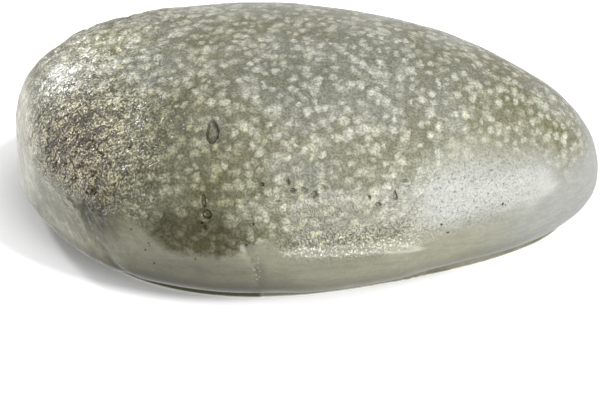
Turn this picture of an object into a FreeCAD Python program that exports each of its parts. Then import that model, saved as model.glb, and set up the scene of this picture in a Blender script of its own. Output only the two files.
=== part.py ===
"""Hide-a-key rock: a hollow cast resin pebble on a screwed-on base plate, with a moulded key box in its
underside, closed by a hinged, sealed snap lid. Millimetres, +Z up, +X towards the tapered end of the pebble,
origin at the middle of the pebble's outline on the level that it stands on."""
import FreeCAD, Part
import Sketcher
import math
import os

Vector = FreeCAD.Vector
doc = FreeCAD.newDocument("hide_a_key_rock")

# ---------------------------------------------------------------- driving dimensions
SIZES = [
    # the pebble
    ("stone_length", 128.0), ("stone_width", 86.5), ("stone_height", 41.5),
    ("girth_height", 9.0),          # level at which the pebble is widest, at its middle
    ("girth_rise", 1.5),            # how much higher that level is at the tapered end
    ("base_inset", 6.9),            # how far the outline draws in from the girth to the base
    ("egg_taper", 0.12),            # how much wider the blunt end is than the tapered end
    ("blunt_fullness", 0.41),       # dome exponent at the blunt end: small is full and upright
    ("taper_fullness", 0.98),       # dome exponent at the tapered end: near 1 is an ellipse
    ("crest_shift", 0.4),           # the crown lies this far towards the tapered end
    ("three_lobe_swell", 0.020), ("four_lobe_swell", 0.020),
    ("hollow_depth", 0.9), ("hollow_length", 30.0), ("hollow_height", 11.0), ("hollow_level", 20.0),
    ("rim_width", 3.2),
    ("core_shoulder_level", 16.0), ("core_shoulder_inset", 1.5),    # the tapered core that leaves the
    ("core_top_level", 28.0), ("core_top_inset", 11.0),             # pebble hollow
    # the base plate and what holds it
    ("lip_height", 1.4), ("base_thickness", 4.0), ("spigot_gap", 0.3),
    ("base_seal_thickness", 0.4), ("base_seal_setback", 0.5),
    ("boss_radius", 3.6), ("boss_bite", 1.0), ("boss_height", 14.0),
    ("insert_radius", 2.1), ("insert_length", 6.0), ("insert_well", 2.5),
    ("screw_radius", 1.45), ("screw_length", 9.5), ("screw_head_radius", 2.75),
    ("screw_head_depth", 1.6), ("screw_sink", 0.3), ("thread_gap", 0.05), ("hole_gap", 0.25),
    # the key box
    ("box_offset_x", -2.0), ("box_offset_y", 1.0),      # the middle of the box, seen from the origin
    ("cavity_end_room", 32.0),      # the pebble reaches this far past the cavity at each end
    ("cavity_width", 29.0), ("cavity_depth", 17.0), ("cavity_corner", 4.0),
    ("box_wall", 1.6), ("foot_gap", 0.5), ("ledge_width", 2.6), ("catch_ledge_width", 5.2),
    ("recess_corner", 5.0), ("frame_wall", 1.4), ("frame_height", 6.6),
    ("flange_width", 2.0), ("flange_thickness", 1.2), ("fit_gap", 0.2),
    ("finger_thickness", 1.1), ("finger_width", 6.0), ("finger_slot", 0.8), ("finger_root", 0.6),
    ("finger_spacing", 36.0), ("hook_reach", 0.8), ("seat_gap", 0.05),
    ("rib_thickness", 1.2), ("rib_reach", 1.7), ("rib_spacing", 13.0),
    ("seal_width", 1.4), ("seal_edge", 0.6), ("seal_height", 1.25),
    # the lid, its hinge and its catch
    ("lid_thickness", 2.0), ("lid_gap", 0.3), ("lid_lift_gap", 0.1), ("lid_edge_chamfer", 0.4),
    ("knuckle_radius", 1.7), ("knuckle_gap", 0.3), ("knuckle_length", 9.0), ("knuckle_end", 14.5),
    ("hinge_setback", 2.0), ("swing_room", 3.2),
    ("pin_radius", 1.0), ("pin_play", 0.07), ("pin_chamfer", 0.3),
    ("skirt_height", 2.0), ("skirt_wall", 1.2), ("skirt_gap", 0.5),
    ("tongue_width", 10.0), ("tongue_thickness", 1.0), ("tongue_height", 2.7), ("tongue_gap", 0.7),
    ("bead_radius", 0.35), ("bead_height", 2.0), ("catch_rib_radius", 0.25), ("catch_rib_drop", 0.9),
    ("tab_width", 14.0), ("tab_reach", 3.0), ("tab_thickness", 1.4), ("tab_corner", 2.0),
    ("grip_height", 0.3), ("grip_width", 0.9), ("grip_length", 18.0), ("grip_pitch", 2.2),
    ("scoop_radius", 8.0), ("scoop_depth", 2.8), ("scoop_width", 17.0),
    # the foam pads that keep a key from rattling
    ("pad_thickness", 2.5), ("pad_margin", 1.5), ("lid_pad_thickness", 1.5), ("pad_corner", 3.0),
]
GRIP_COUNT = 4
RIB_COUNT = 4
RING_POINTS = 32        # a multiple of four
FINE_POINTS = 720
SIDE_LEVELS = 4
BELLY_TURN = math.radians(75)           # how far the skin turns in from the girth to the foot
DOME_ANGLES = [0, 3, 8, 14, 22, 31, 41, 51, 61, 71, 81]     # degrees from the girth to the crown
THREE_LOBE_ANGLE = math.radians(16.5)
FOUR_LOBE_ANGLE = math.radians(-12.5)
HOLLOW_ANGLE = math.radians(-78.0)      # where round the pebble the shallow worn hollow lies

sheet = doc.addObject("Spreadsheet::Sheet", "Sizes")
for row, (alias, value) in enumerate(SIZES, start=1):
    sheet.set(f"A{row}", alias)
    sheet.set(f"B{row}", str(value))
    sheet.setAlias(f"B{row}", alias)
doc.recompute()


def size(alias):
    """The value in the sheet's cell of that alias."""
    return float(sheet.get(alias))


def named(text):
    """An expression on the sheet's aliases, with each alias written as Sizes.alias."""
    words, word = [], ""
    for character in text + " ":
        if character.isalnum() or character == "_":
            word += character
            continue
        words.append(f"Sizes.{word}" if word in ALIASES else word)
        words.append(character)
        word = ""
    return "(" + "".join(words).strip() + ")"


def number(text):
    """The value of such an expression now."""
    return float(sheet.evalExpression(text))


ALIASES = {alias for alias, value in SIZES}

# places in the key box's own frame, whose x and y are counted from the middle of the box
LEDGE = named("foot_gap + lid_thickness + lid_lift_gap")
CEILING = f"({LEDGE} + Sizes.cavity_depth)"
FRAME_TOP = named("foot_gap + frame_height")
CAVITY_LOW = named("cavity_end_room - stone_length / 2")
CAVITY_HIGH = named("stone_length / 2 - cavity_end_room")
CAVITY_HALF = named("cavity_width / 2")
HINGE_X = f"({CAVITY_LOW} - Sizes.ledge_width - Sizes.hinge_setback)"
HINGE_Z = named("foot_gap + knuckle_radius")
RECESS_LOW = f"({HINGE_X} - Sizes.swing_room)"
RECESS_HIGH = f"({CAVITY_HIGH} + Sizes.catch_ledge_width)"
RECESS_HALF = f"({CAVITY_HALF} + Sizes.ledge_width)"
POCKET_TOP = f"({HINGE_Z} + Sizes.knuckle_radius + Sizes.knuckle_gap)"
LID_HALF = f"({RECESS_HALF} - Sizes.lid_gap)"
LID_HIGH = f"({RECESS_HIGH} - Sizes.lid_gap)"
LID_LOW = f"({HINGE_X} + Sizes.knuckle_radius + Sizes.knuckle_gap)"
LID_TOP = named("foot_gap + lid_thickness")
TONGUE_HIGH = f"({RECESS_HIGH} - Sizes.tongue_gap)"


# ---------------------------------------------------------------- helpers for sketches and bodies
def new_body(name):
    body = doc.addObject("PartDesign::Body", name)
    body.Label = name
    return body


def new_box_body(name):
    """A body that is drawn in the key box's own frame and stands where the box stands."""
    body = new_body(name)
    body.setExpression("Placement.Base.x", "Sizes.box_offset_x")
    body.setExpression("Placement.Base.y", "Sizes.box_offset_y")
    return body


def new_sketch(body, name, plane="XY_Plane", offset="0"):
    """A sketch on one of the body's own origin planes, moved along the plane's normal."""
    sketch = body.newObject("Sketcher::SketchObject", name)
    support = next(f for f in body.Origin.OriginFeatures if f.Role == plane)
    sketch.AttachmentSupport = [(support, "")]
    sketch.MapMode = "FlatFace"
    sketch.setExpression("AttachmentOffset.Base.z", offset)
    return sketch


def locate(sketch, geometry, point, axis, text):
    """Holds a point of the sketch at a signed distance from its origin, along x or y."""
    kind = "DistanceX" if axis == "x" else "DistanceY"
    value = number(text)
    if value >= 0:
        index = sketch.addConstraint(Sketcher.Constraint(kind, -1, 1, geometry, point, value))
        sketch.setExpression(f"Constraints[{index}]", text)
    else:
        index = sketch.addConstraint(Sketcher.Constraint(kind, geometry, point, -1, 1, -value))
        sketch.setExpression(f"Constraints[{index}]", f"-1 * {text}")


def rounded_rectangle(sketch, low, high, half, corner):
    """A rectangle from x = low to high and y = -half to half, with round corners; all are expressions."""
    x0, x1, y, r = number(low), number(high), number(half), number(corner)
    quarter = math.pi / 2
    first = sketch.GeometryCount
    sketch.addGeometry([
        Part.LineSegment(Vector(x0 + r, -y, 0), Vector(x1 - r, -y, 0)),
        Part.LineSegment(Vector(x1, r - y, 0), Vector(x1, y - r, 0)),
        Part.LineSegment(Vector(x1 - r, y, 0), Vector(x0 + r, y, 0)),
        Part.LineSegment(Vector(x0, y - r, 0), Vector(x0, r - y, 0)),
        Part.ArcOfCircle(Part.Circle(Vector(x1 - r, r - y, 0), Vector(0, 0, 1), r), 3 * quarter, 4 * quarter),
        Part.ArcOfCircle(Part.Circle(Vector(x1 - r, y - r, 0), Vector(0, 0, 1), r), 0, quarter),
        Part.ArcOfCircle(Part.Circle(Vector(x0 + r, y - r, 0), Vector(0, 0, 1), r), quarter, 2 * quarter),
        Part.ArcOfCircle(Part.Circle(Vector(x0 + r, r - y, 0), Vector(0, 0, 1), r), 2 * quarter, 3 * quarter),
    ], False)
    for side in range(4):
        line, arc, following = first + side, first + 4 + side, first + (side + 1) % 4
        sketch.addConstraint(Sketcher.Constraint("Tangent", line, 2, arc, 1))
        sketch.addConstraint(Sketcher.Constraint("Tangent", arc, 2, following, 1))
        sketch.addConstraint(Sketcher.Constraint("Horizontal" if side % 2 == 0 else "Vertical", line))
        if side:
            sketch.addConstraint(Sketcher.Constraint("Equal", first + 4, arc))
    radius = sketch.addConstraint(Sketcher.Constraint("Radius", first + 4, r))
    sketch.setExpression(f"Constraints[{radius}]", corner)
    locate(sketch, first, 1, "y", f"(-1 * {half})")
    locate(sketch, first + 2, 1, "y", half)
    locate(sketch, first + 1, 1, "x", high)
    locate(sketch, first + 3, 1, "x", low)


def polygon(sketch, corners):
    """A closed outline of straight lines through corners given as pairs of expressions."""
    points = [Vector(number(x), number(y), 0) for x, y in corners]
    first = sketch.GeometryCount
    count = len(points)
    for i in range(count):
        sketch.addGeometry(Part.LineSegment(points[i], points[(i + 1) % count]), False)
    for i in range(count):
        sketch.addConstraint(Sketcher.Constraint("Coincident", first + i, 2, first + (i + 1) % count, 1))
    for i, (x, y) in enumerate(corners):
        locate(sketch, first + i, 1, "x", x)
        locate(sketch, first + i, 1, "y", y)


def rectangle(sketch, low_x, high_x, low_y, high_y):
    polygon(sketch, [(low_x, low_y), (high_x, low_y), (high_x, high_y), (low_x, high_y)])


def circle(sketch, x, y, radius):
    index = sketch.addGeometry(Part.Circle(Vector(number(x), number(y), 0), Vector(0, 0, 1), number(radius)),
                               False)
    held = sketch.addConstraint(Sketcher.Constraint("Radius", index, number(radius)))
    sketch.setExpression(f"Constraints[{held}]", radius)
    locate(sketch, index, 3, "x", x)
    locate(sketch, index, 3, "y", y)


def pad(body, sketch, length, reverse=False, both_ways=False):
    feature = body.newObject("PartDesign::Pad", f"{sketch.Name}_pad")
    feature.Profile = sketch
    feature.setExpression("Length", length)
    feature.Reversed = reverse
    if both_ways:
        feature.SideType = "Symmetric"
    body.Tip = feature
    sketch.Visibility = False
    return feature


def pocket(body, sketch, length, reverse=False, both_ways=False):
    feature = body.newObject("PartDesign::Pocket", f"{sketch.Name}_pocket")
    feature.Profile = sketch
    feature.setExpression("Length", length)
    feature.Reversed = reverse
    if both_ways:
        feature.SideType = "Symmetric"
    body.Tip = feature
    return feature


def row_along_x(body, feature, spacing, count):
    """Repeats a feature along +X."""
    pattern = body.newObject("PartDesign::LinearPattern", f"{feature.Name}_row")
    pattern.Originals = [feature]
    axis = next(f for f in body.Origin.OriginFeatures if f.Role == "X_Axis")
    pattern.Direction = (axis, [""])
    pattern.setExpression("Length", f"{spacing} * {count - 1}")
    pattern.Occurrences = count
    body.Tip = pattern
    return pattern


def mirror_in_xz(body, feature):
    """Copies a feature to the other side of the XZ plane."""
    mirrored = body.newObject("PartDesign::Mirrored", f"{feature.Name}_mirrored")
    mirrored.Originals = [feature]
    plane = next(f for f in body.Origin.OriginFeatures if f.Role == "XZ_Plane")
    mirrored.MirrorPlane = (plane, [""])
    body.Tip = mirrored
    return mirrored


def edges_of(shape, test):
    """Names of the edges for which test(edge) holds."""
    return [f"Edge{i}" for i, edge in enumerate(shape.Edges, start=1) if test(edge)]


def at_level(edge, level):
    return all(abs(vertex.Z - level) < 1e-4 for vertex in edge.Vertexes) and abs(
        edge.CenterOfMass.z - level) < 1e-4


def dress_level(body, kind, name, level, setting, amount):
    """Rounds or bevels every edge of the body that lies at a level."""
    doc.recompute()
    base, height = body.Tip, number(level)
    feature = body.newObject(kind, name)
    feature.Base = (base, edges_of(base.Shape, lambda edge: at_level(edge, height)))
    feature.setExpression(setting, amount)
    body.Tip = feature
    return feature


# ---------------------------------------------------------------- the pebble's skin
def unit_point(angle):
    """A point of the girth's plan outline, from the egg's formula, before it gets its length and width."""
    swell = (1 + size("three_lobe_swell") * math.cos(3 * (angle - THREE_LOBE_ANGLE))
             + size("four_lobe_swell") * math.cos(4 * (angle - FOUR_LOBE_ANGLE)))
    return (math.cos(angle) * swell, math.sin(angle) * (1 - size("egg_taper") * math.cos(angle)) * swell)


def girth_outline():
    """The girth's outline at its real size, centred on the origin."""
    fine = [unit_point(2 * math.pi * i / FINE_POINTS) for i in range(FINE_POINTS)]
    lows = [min(p[k] for p in fine) for k in range(2)]
    highs = [max(p[k] for p in fine) for k in range(2)]
    real = (size("stone_length"), size("stone_width"))
    outline = []
    for i in range(RING_POINTS):
        unit = unit_point(2 * math.pi * i / RING_POINTS)
        outline.append(Vector(*[(unit[k] - (lows[k] + highs[k]) / 2) * real[k] / (highs[k] - lows[k])
                                for k in range(2)], 0))
    return outline


def drawn_in(outline, distance):
    """An outline with every point moved towards the origin by a distance."""
    return [p * (1 - distance / p.Length) for p in outline]


def dome_exponent(i):
    """How full the dome is above a point of the outline."""
    share = (1 + math.cos(2 * math.pi * i / RING_POINTS)) / 2
    return size("blunt_fullness") * (1 - share) + size("taper_fullness") * share


def girth_level(i):
    """The level of the girth below or above a point of the outline."""
    return size("girth_height") + size("girth_rise") * math.cos(2 * math.pi * i / RING_POINTS)


def worn(point, i):
    """A skin point pressed in by the shallow worn hollow at the front."""
    angle = 2 * math.pi * i / RING_POINTS
    turn = (angle - HOLLOW_ANGLE + math.pi) % (2 * math.pi) - math.pi
    across = turn * math.hypot(point.x, point.y) / (size("hollow_length") / 2)
    rise = (point.z - size("hollow_level")) / (size("hollow_height") / 2)
    dent = size("hollow_depth") * math.exp(-across ** 2 - rise ** 2)
    outward = Vector(point.x, point.y, 0)
    return point - outward * (dent / outward.Length)


def dome_ring(outline, degrees, top):
    """The dome's ring at an angle up from the girth, before any wear."""
    slope = math.radians(degrees)
    ring = []
    for i, p in enumerate(outline):
        rise = math.sin(slope) ** dome_exponent(i) if degrees else 0.0
        ring.append(Vector(p.x * math.cos(slope) + size("crest_shift") * rise, p.y * math.cos(slope),
                           girth_level(i) + (top - girth_level(i)) * rise))
    return ring


def skin_rings():
    """Rings of points from the pebble's foot to near its crown, and the crown's point."""
    girth = girth_outline()
    foot, top = size("lip_height") + size("base_seal_thickness"), size("stone_height")
    rings = []
    for step in range(SIDE_LEVELS):
        turn = BELLY_TURN * (1 - step / SIDE_LEVELS)
        inset = size("base_inset") * (1 - math.cos(turn)) / (1 - math.cos(BELLY_TURN))
        drop = math.sin(turn) / math.sin(BELLY_TURN)
        rings.append([Vector(p.x, p.y, girth_level(i) - (girth_level(i) - foot) * drop)
                      for i, p in enumerate(drawn_in(girth, inset))])
    for degrees in DOME_ANGLES:
        rings.append([worn(point, i) for i, point in enumerate(dome_ring(girth, degrees, top))])
    return rings, Vector(size("crest_shift"), 0, top)


def ring_curve(points):
    """A smooth closed curve through a ring of points."""
    curve = Part.BSplineCurve()
    curve.interpolate(Points=points, PeriodicFlag=True,
                      Parameters=[i / len(points) for i in range(len(points) + 1)])
    return curve


def closed_skin(rings, crown):
    """One smooth surface through rings of points, closed at its crown, with a flat foot, as a solid."""
    around = [ring_curve(ring) for ring in rings]
    heights = [float(k) for k in range(len(rings) + 1)]
    columns = []
    for j in range(around[0].NbPoles):
        column = Part.BSplineCurve()
        column.interpolate(Points=[curve.getPole(j + 1) for curve in around] + [crown], Parameters=heights)
        columns.append(column)
    poles = [column.getPoles() for column in columns]
    surface = Part.BSplineSurface()
    surface.buildFromPolesMultsKnots(poles, around[0].getMultiplicities(), columns[0].getMultiplicities(),
                                     around[0].getKnots(), columns[0].getKnots(), True, False, 3, 3)
    skin = surface.toShape()
    level = rings[0][0].z
    rim = [edge for edge in skin.Edges if not edge.Degenerated and at_level(edge, level)]
    foot = Part.Face(Part.Wire(rim))
    return Part.Solid(Part.Shell([skin, foot.reversed()]))


def feature(name, shape):
    made = doc.addObject("Part::Feature", name)
    made.Shape = shape
    return made


def outline_at(name, outline, level):
    """The outline as a closed curve at a level."""
    edge = ring_curve([Vector(p.x, p.y, level) for p in outline]).toShape()
    return feature(f"{name}_outline", Part.Wire([edge]))


def outline_plate(name, outline, bottom, height):
    """A flat plate with a curved outline, from level bottom, as thick as the expression height says."""
    plate = doc.addObject("Part::Extrusion", name)
    plate.Base = outline_at(name, outline, number(bottom))
    plate.DirMode = "Custom"
    plate.Dir = Vector(0, 0, 1)
    plate.Solid = True
    plate.setExpression("LengthFwd", height)
    return plate


def boss_places():
    """Centres of the four screw bosses, against the cavity wall at the ends and sides of the pebble."""
    mouth = drawn_in(girth_outline(), size("base_inset") + size("rim_width"))
    inward = size("boss_radius") - size("boss_bite")
    places = []
    for quarter in range(4):
        p = mouth[quarter * RING_POINTS // 4]
        places.append(p * (1 - inward / p.Length))
    return places


def cylinders(name, radius, height, level):
    """One upright cylinder at each screw boss."""
    made = []
    for n, place in enumerate(boss_places(), start=1):
        one = doc.addObject("Part::Cylinder", f"{name}_{n}")
        one.setExpression("Radius", radius)
        one.setExpression("Height", height)
        one.Placement.Base = Vector(place.x, place.y, number(level))
        made.append(one)
    return made


def joined(name, shapes):
    made = doc.addObject("Part::MultiFuse", name)
    made.Shapes = shapes
    return made


def cut(name, base, tool):
    made = doc.addObject("Part::Cut", name)
    made.Base = base
    made.Tool = tool
    return made


def pebble_core():
    """The core that leaves the pebble hollow: upright at the mouth for the base plate, then tapered."""
    girth = girth_outline()
    mouth = size("base_inset") + size("rim_width")
    sections = [("core_mouth", size("lip_height"), mouth),
                ("core_collar", size("base_thickness") + size("core_shoulder_inset"), mouth),
                ("core_shoulder", size("core_shoulder_level"), mouth + size("core_shoulder_inset")),
                ("core_top", size("core_top_level"), mouth + size("core_top_inset"))]
    core = doc.addObject("Part::Loft", "pebble_core")
    core.Sections = [outline_at(name, drawn_in(girth, inset), level) for name, level, inset in sections]
    core.Solid = True
    core.Ruled = True
    return core


def stone_shell():
    """The cast resin pebble: one smooth skin, hollowed from below, with a boss for each base screw."""
    shell = cut("hollow_pebble", feature("pebble_form", closed_skin(*skin_rings())), pebble_core())
    bosses = cylinders("screw_boss", "Sizes.boss_radius", "Sizes.boss_height", "Sizes.base_thickness")
    whole = joined("pebble_with_bosses", [shell] + bosses)
    wells = joined("insert_wells", cylinders("insert_well", "Sizes.insert_radius",
                                             named("insert_length + insert_well"), "Sizes.base_thickness"))
    return cut("stone_shell", whole, wells)


def boss_inserts():
    """Brass threaded inserts, one cast into each boss."""
    outside = cylinders("insert_body", "Sizes.insert_radius", "Sizes.insert_length", "Sizes.base_thickness")
    bores = cylinders("insert_bore", named("screw_radius + thread_gap"), "Sizes.insert_length",
                      "Sizes.base_thickness")
    return cut("boss_inserts", joined("insert_bodies", outside), joined("insert_bores", bores))


def base_plate():
    """The cast base: a lip that shows below the pebble, and a spigot that fills the pebble's mouth."""
    girth = girth_outline()
    lip = outline_plate("base_lip", drawn_in(girth, size("base_inset")), "0", "Sizes.lip_height")
    spigot = outline_plate(
        "base_spigot", drawn_in(girth, size("base_inset") + size("rim_width") + size("spigot_gap")), "0",
        "Sizes.base_thickness")
    slab = joined("base_slab", [lip, spigot])

    tools = new_box_body("base_openings")
    opening = new_sketch(tools, "box_opening", offset=named("-1 * foot_gap"))
    rounded_rectangle(opening, f"({RECESS_LOW} - Sizes.frame_wall - Sizes.fit_gap)",
                      f"({RECESS_HIGH} + Sizes.frame_wall + Sizes.fit_gap)",
                      f"({RECESS_HALF} + Sizes.frame_wall + Sizes.fit_gap)",
                      named("recess_corner + frame_wall + fit_gap"))
    pad(tools, opening, named("base_thickness + 2 * foot_gap"))
    rebate = new_sketch(tools, "flange_rebate", offset=named("-1 * foot_gap"))
    rounded_rectangle(rebate, f"({RECESS_LOW} - Sizes.frame_wall - Sizes.flange_width - Sizes.fit_gap)",
                      f"({RECESS_HIGH} + Sizes.frame_wall + Sizes.flange_width + Sizes.fit_gap)",
                      f"({RECESS_HALF} + Sizes.frame_wall + Sizes.flange_width + Sizes.fit_gap)",
                      named("recess_corner + frame_wall + flange_width + fit_gap"))
    pad(tools, rebate, named("2 * foot_gap + flange_thickness"))
    scoop = new_sketch(tools, "finger_scoop", plane="XZ_Plane")
    circle(scoop, f"({RECESS_HIGH} + Sizes.frame_wall + Sizes.tab_reach)",
           named("scoop_depth - scoop_radius"), "Sizes.scoop_radius")
    pad(tools, scoop, "Sizes.scoop_width", both_ways=True)
    opened = cut("opened_base", slab, tools)

    holes = cylinders("screw_hole", named("screw_radius + hole_gap"),
                      named("base_thickness + 2 * foot_gap"), named("-1 * foot_gap"))
    sinks = []
    for n, place in enumerate(boss_places(), start=1):
        sink = doc.addObject("Part::Cone", f"countersink_{n}")
        sink.setExpression("Radius1", named("screw_head_radius + screw_sink + hole_gap"))
        sink.setExpression("Radius2", named("screw_radius + hole_gap"))
        sink.setExpression("Height", named("screw_head_depth + screw_sink"))
        sink.Placement.Base = Vector(place.x, place.y, 0)
        sinks.append(sink)
    return cut("base_plate", opened, joined("base_holes", holes + sinks))


def base_seal():
    """The flat rubber gasket between the pebble's rim and the base plate's lip."""
    girth = girth_outline()
    outside = outline_plate("base_seal_outside",
                            drawn_in(girth, size("base_inset") + size("base_seal_setback")),
                            "Sizes.lip_height", "Sizes.base_seal_thickness")
    inside = outline_plate("base_seal_inside", drawn_in(girth, size("base_inset") + size("rim_width")),
                           "Sizes.lip_height", "Sizes.base_seal_thickness")
    return cut("base_seal", outside, inside)


def screw():
    """One countersunk machine screw with a cross recess, standing on its head at the origin."""
    body = new_body("screw_form")
    profile = new_sketch(body, "screw_profile", plane="XZ_Plane")
    polygon(profile, [
        ("0", "0"), ("Sizes.screw_head_radius", "0"),
        ("Sizes.screw_radius", "Sizes.screw_head_depth"),
        ("Sizes.screw_radius", named("screw_length - screw_radius / 2")),
        (named("screw_radius / 2"), "Sizes.screw_length"), ("0", "Sizes.screw_length")])
    turned = body.newObject("PartDesign::Revolution", "screw_turned")
    turned.Profile = profile
    turned.ReferenceAxis = (profile, ["V_Axis"])
    turned.Angle = 360
    body.Tip = turned
    slot_half, slot_reach = named("screw_radius / 4"), named("screw_head_radius * 0.62")
    for name, across, along in (("slot_x", slot_half, slot_reach), ("slot_y", slot_reach, slot_half)):
        slot = new_sketch(body, name)
        rectangle(slot, f"(-1 * {along})", along, f"(-1 * {across})", across)
        pocket(body, slot, "Sizes.screw_head_depth", reverse=True)
    return body


def base_screws(one):
    """The four base screws, each set a little below the base plate's underside."""
    copies = []
    for place in boss_places():
        placed = one.Shape.copy()
        placed.translate(Vector(place.x, place.y, size("screw_sink")))
        copies.append(placed)
    return feature("base_screws", Part.makeCompound(copies))


# ---------------------------------------------------------------- the key box
def key_box():
    """The moulded box: a tub that opens downwards in a frame that takes the lid, the seal and the hinge."""
    body = new_box_body("key_box")
    frame = new_sketch(body, "frame", offset="Sizes.foot_gap")
    rounded_rectangle(frame, f"({RECESS_LOW} - Sizes.frame_wall)", f"({RECESS_HIGH} + Sizes.frame_wall)",
                      f"({RECESS_HALF} + Sizes.frame_wall)", named("recess_corner + frame_wall"))
    pad(body, frame, "Sizes.frame_height")
    flange = new_sketch(body, "flange", offset="Sizes.foot_gap")
    rounded_rectangle(flange, f"({RECESS_LOW} - Sizes.frame_wall - Sizes.flange_width)",
                      f"({RECESS_HIGH} + Sizes.frame_wall + Sizes.flange_width)",
                      f"({RECESS_HALF} + Sizes.frame_wall + Sizes.flange_width)",
                      named("recess_corner + frame_wall + flange_width"))
    pad(body, flange, "Sizes.flange_thickness")
    tub = new_sketch(body, "tub", offset=FRAME_TOP)
    rounded_rectangle(tub, f"({CAVITY_LOW} - Sizes.box_wall)", f"({CAVITY_HIGH} + Sizes.box_wall)",
                      f"({CAVITY_HALF} + Sizes.box_wall)", named("cavity_corner + box_wall"))
    pad(body, tub, f"({CEILING} + Sizes.box_wall - {FRAME_TOP})")
    dress_level(body, "PartDesign::Fillet", "tub_edge_round", f"({CEILING} + Sizes.box_wall)",
                "Radius", "Sizes.box_wall")

    recess = new_sketch(body, "lid_recess", offset=LEDGE)
    rounded_rectangle(recess, RECESS_LOW, RECESS_HIGH, RECESS_HALF, "Sizes.recess_corner")
    pocket(body, recess, f"({LEDGE})")
    cavity = new_sketch(body, "key_cavity", offset=CEILING)
    rounded_rectangle(cavity, CAVITY_LOW, CAVITY_HIGH, CAVITY_HALF, "Sizes.cavity_corner")
    pocket(body, cavity, CEILING)
    hinge_pocket = new_sketch(body, "hinge_pocket", offset=POCKET_TOP)
    rounded_rectangle(hinge_pocket, RECESS_LOW, f"({CAVITY_LOW} - Sizes.ledge_width)",
                      f"({RECESS_HALF})", "Sizes.knuckle_gap")
    pocket(body, hinge_pocket, POCKET_TOP)
    groove = new_sketch(body, "seal_groove", offset=LEDGE)
    seal_rings(groove, "0")
    pocket(body, groove, "Sizes.seal_height", reverse=True)

    knuckle = new_sketch(body, "frame_knuckle", plane="XZ_Plane")
    hanging_knuckle(knuckle)
    pad(body, knuckle, f"(2 * (Sizes.knuckle_end - Sizes.knuckle_length - Sizes.knuckle_gap))",
        both_ways=True)
    bore = new_sketch(body, "pin_bore", plane="XZ_Plane")
    circle(bore, HINGE_X, HINGE_Z, "Sizes.pin_radius")
    pocket(body, bore, f"(2 * ({RECESS_HALF} + Sizes.frame_wall + Sizes.flange_width))", both_ways=True)

    slot = new_sketch(body, "tongue_slot", offset=f"({LEDGE} + Sizes.tongue_height)")
    rectangle(slot, f"({TONGUE_HIGH} - Sizes.tongue_thickness - Sizes.lid_gap)", RECESS_HIGH,
              named("-1 * (tongue_width / 2 + lid_gap)"), named("tongue_width / 2 + lid_gap"))
    pocket(body, slot, f"({LEDGE} + Sizes.tongue_height)")
    rib = new_sketch(body, "catch_rib", plane="XZ_Plane")
    circle(rib, RECESS_HIGH, f"({LID_TOP} + Sizes.bead_height - Sizes.catch_rib_drop)",
           "Sizes.catch_rib_radius")
    pad(body, rib, "Sizes.tongue_width", both_ways=True)
    notch = new_sketch(body, "tab_notch", offset="0")
    rectangle(notch, f"({RECESS_HIGH} - Sizes.lid_gap)",
              f"({RECESS_HIGH} + Sizes.frame_wall + 2 * Sizes.flange_width)",
              named("-1 * (tab_width / 2 + lid_gap)"), named("tab_width / 2 + lid_gap"))
    pocket(body, notch, named("foot_gap + tab_thickness + lid_gap"), reverse=True)

    snap_fingers(body)
    ribs = new_sketch(body, "tub_ribs", plane="YZ_Plane",
                      offset=f"(-1 * Sizes.rib_spacing * {(RIB_COUNT - 1) / 2}"
                             f" - Sizes.rib_thickness / 2)")
    wall, rib_top = f"({CAVITY_HALF} + Sizes.box_wall)", f"({CEILING} - Sizes.box_wall)"
    for sign in ("", "-1 * "):
        polygon(ribs, [(f"({sign}({wall} - Sizes.fit_gap))", f"({FRAME_TOP} - Sizes.fit_gap)"),
                       (f"({sign}({wall} + Sizes.rib_reach))", f"({FRAME_TOP} - Sizes.fit_gap)"),
                       (f"({sign}({wall} + Sizes.rib_reach / 3))", rib_top),
                       (f"({sign}({wall} - Sizes.fit_gap))", rib_top)])
    row_along_x(body, pad(body, ribs, "Sizes.rib_thickness"), "Sizes.rib_spacing", RIB_COUNT)
    return body


def snap_fingers(body):
    """Four sprung fingers in the frame's long sides, whose hooks hold the box in the base plate."""
    side, root = f"({RECESS_HALF} + Sizes.frame_wall)", f"({LEDGE} + Sizes.finger_root)"
    inside = f"({side} - Sizes.finger_thickness)"
    first = named("-1 * finger_spacing / 2")
    slots = new_sketch(body, "finger_slots", offset=FRAME_TOP)
    for sign in ("", "-1 * "):
        rectangle(slots, f"({first} - Sizes.finger_width / 2 - Sizes.finger_slot)",
                  f"({first} + Sizes.finger_width / 2 + Sizes.finger_slot)",
                  f"({sign}({inside} - Sizes.finger_slot))", f"({sign}({side} + Sizes.fit_gap))")
    row_along_x(body, pocket(body, slots, f"({FRAME_TOP} - {root})"), "Sizes.finger_spacing", 2)
    fingers = new_sketch(body, "snap_fingers", plane="YZ_Plane", offset=f"({first} - Sizes.finger_width / 2)")
    seat = named("base_thickness + seat_gap")
    for sign in ("", "-1 * "):
        polygon(fingers, [(f"({sign}{inside})", f"({root} - Sizes.fit_gap)"),
                          (f"({sign}{side})", f"({root} - Sizes.fit_gap)"),
                          (f"({sign}{side})", seat),
                          (f"({sign}({side} + Sizes.hook_reach))", seat),
                          (f"({sign}({side} - Sizes.finger_thickness / 2))", FRAME_TOP),
                          (f"({sign}{inside})", FRAME_TOP)])
    row_along_x(body, pad(body, fingers, "Sizes.finger_width"), "Sizes.finger_spacing", 2)


def seal_rings(sketch, play):
    """The two outlines of the lid seal round the mouth, drawn in by a play on either side."""
    near, far = named("seal_edge"), named("seal_edge + seal_width")
    for reach, inset in ((near, play), (far, f"(-1 * {play})")):
        out = f"({reach} + {inset})"
        rounded_rectangle(sketch, f"({CAVITY_LOW} - {out})", f"({CAVITY_HIGH} + {out})",
                          f"({CAVITY_HALF} + {out})", f"(Sizes.cavity_corner + {out})")


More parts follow.
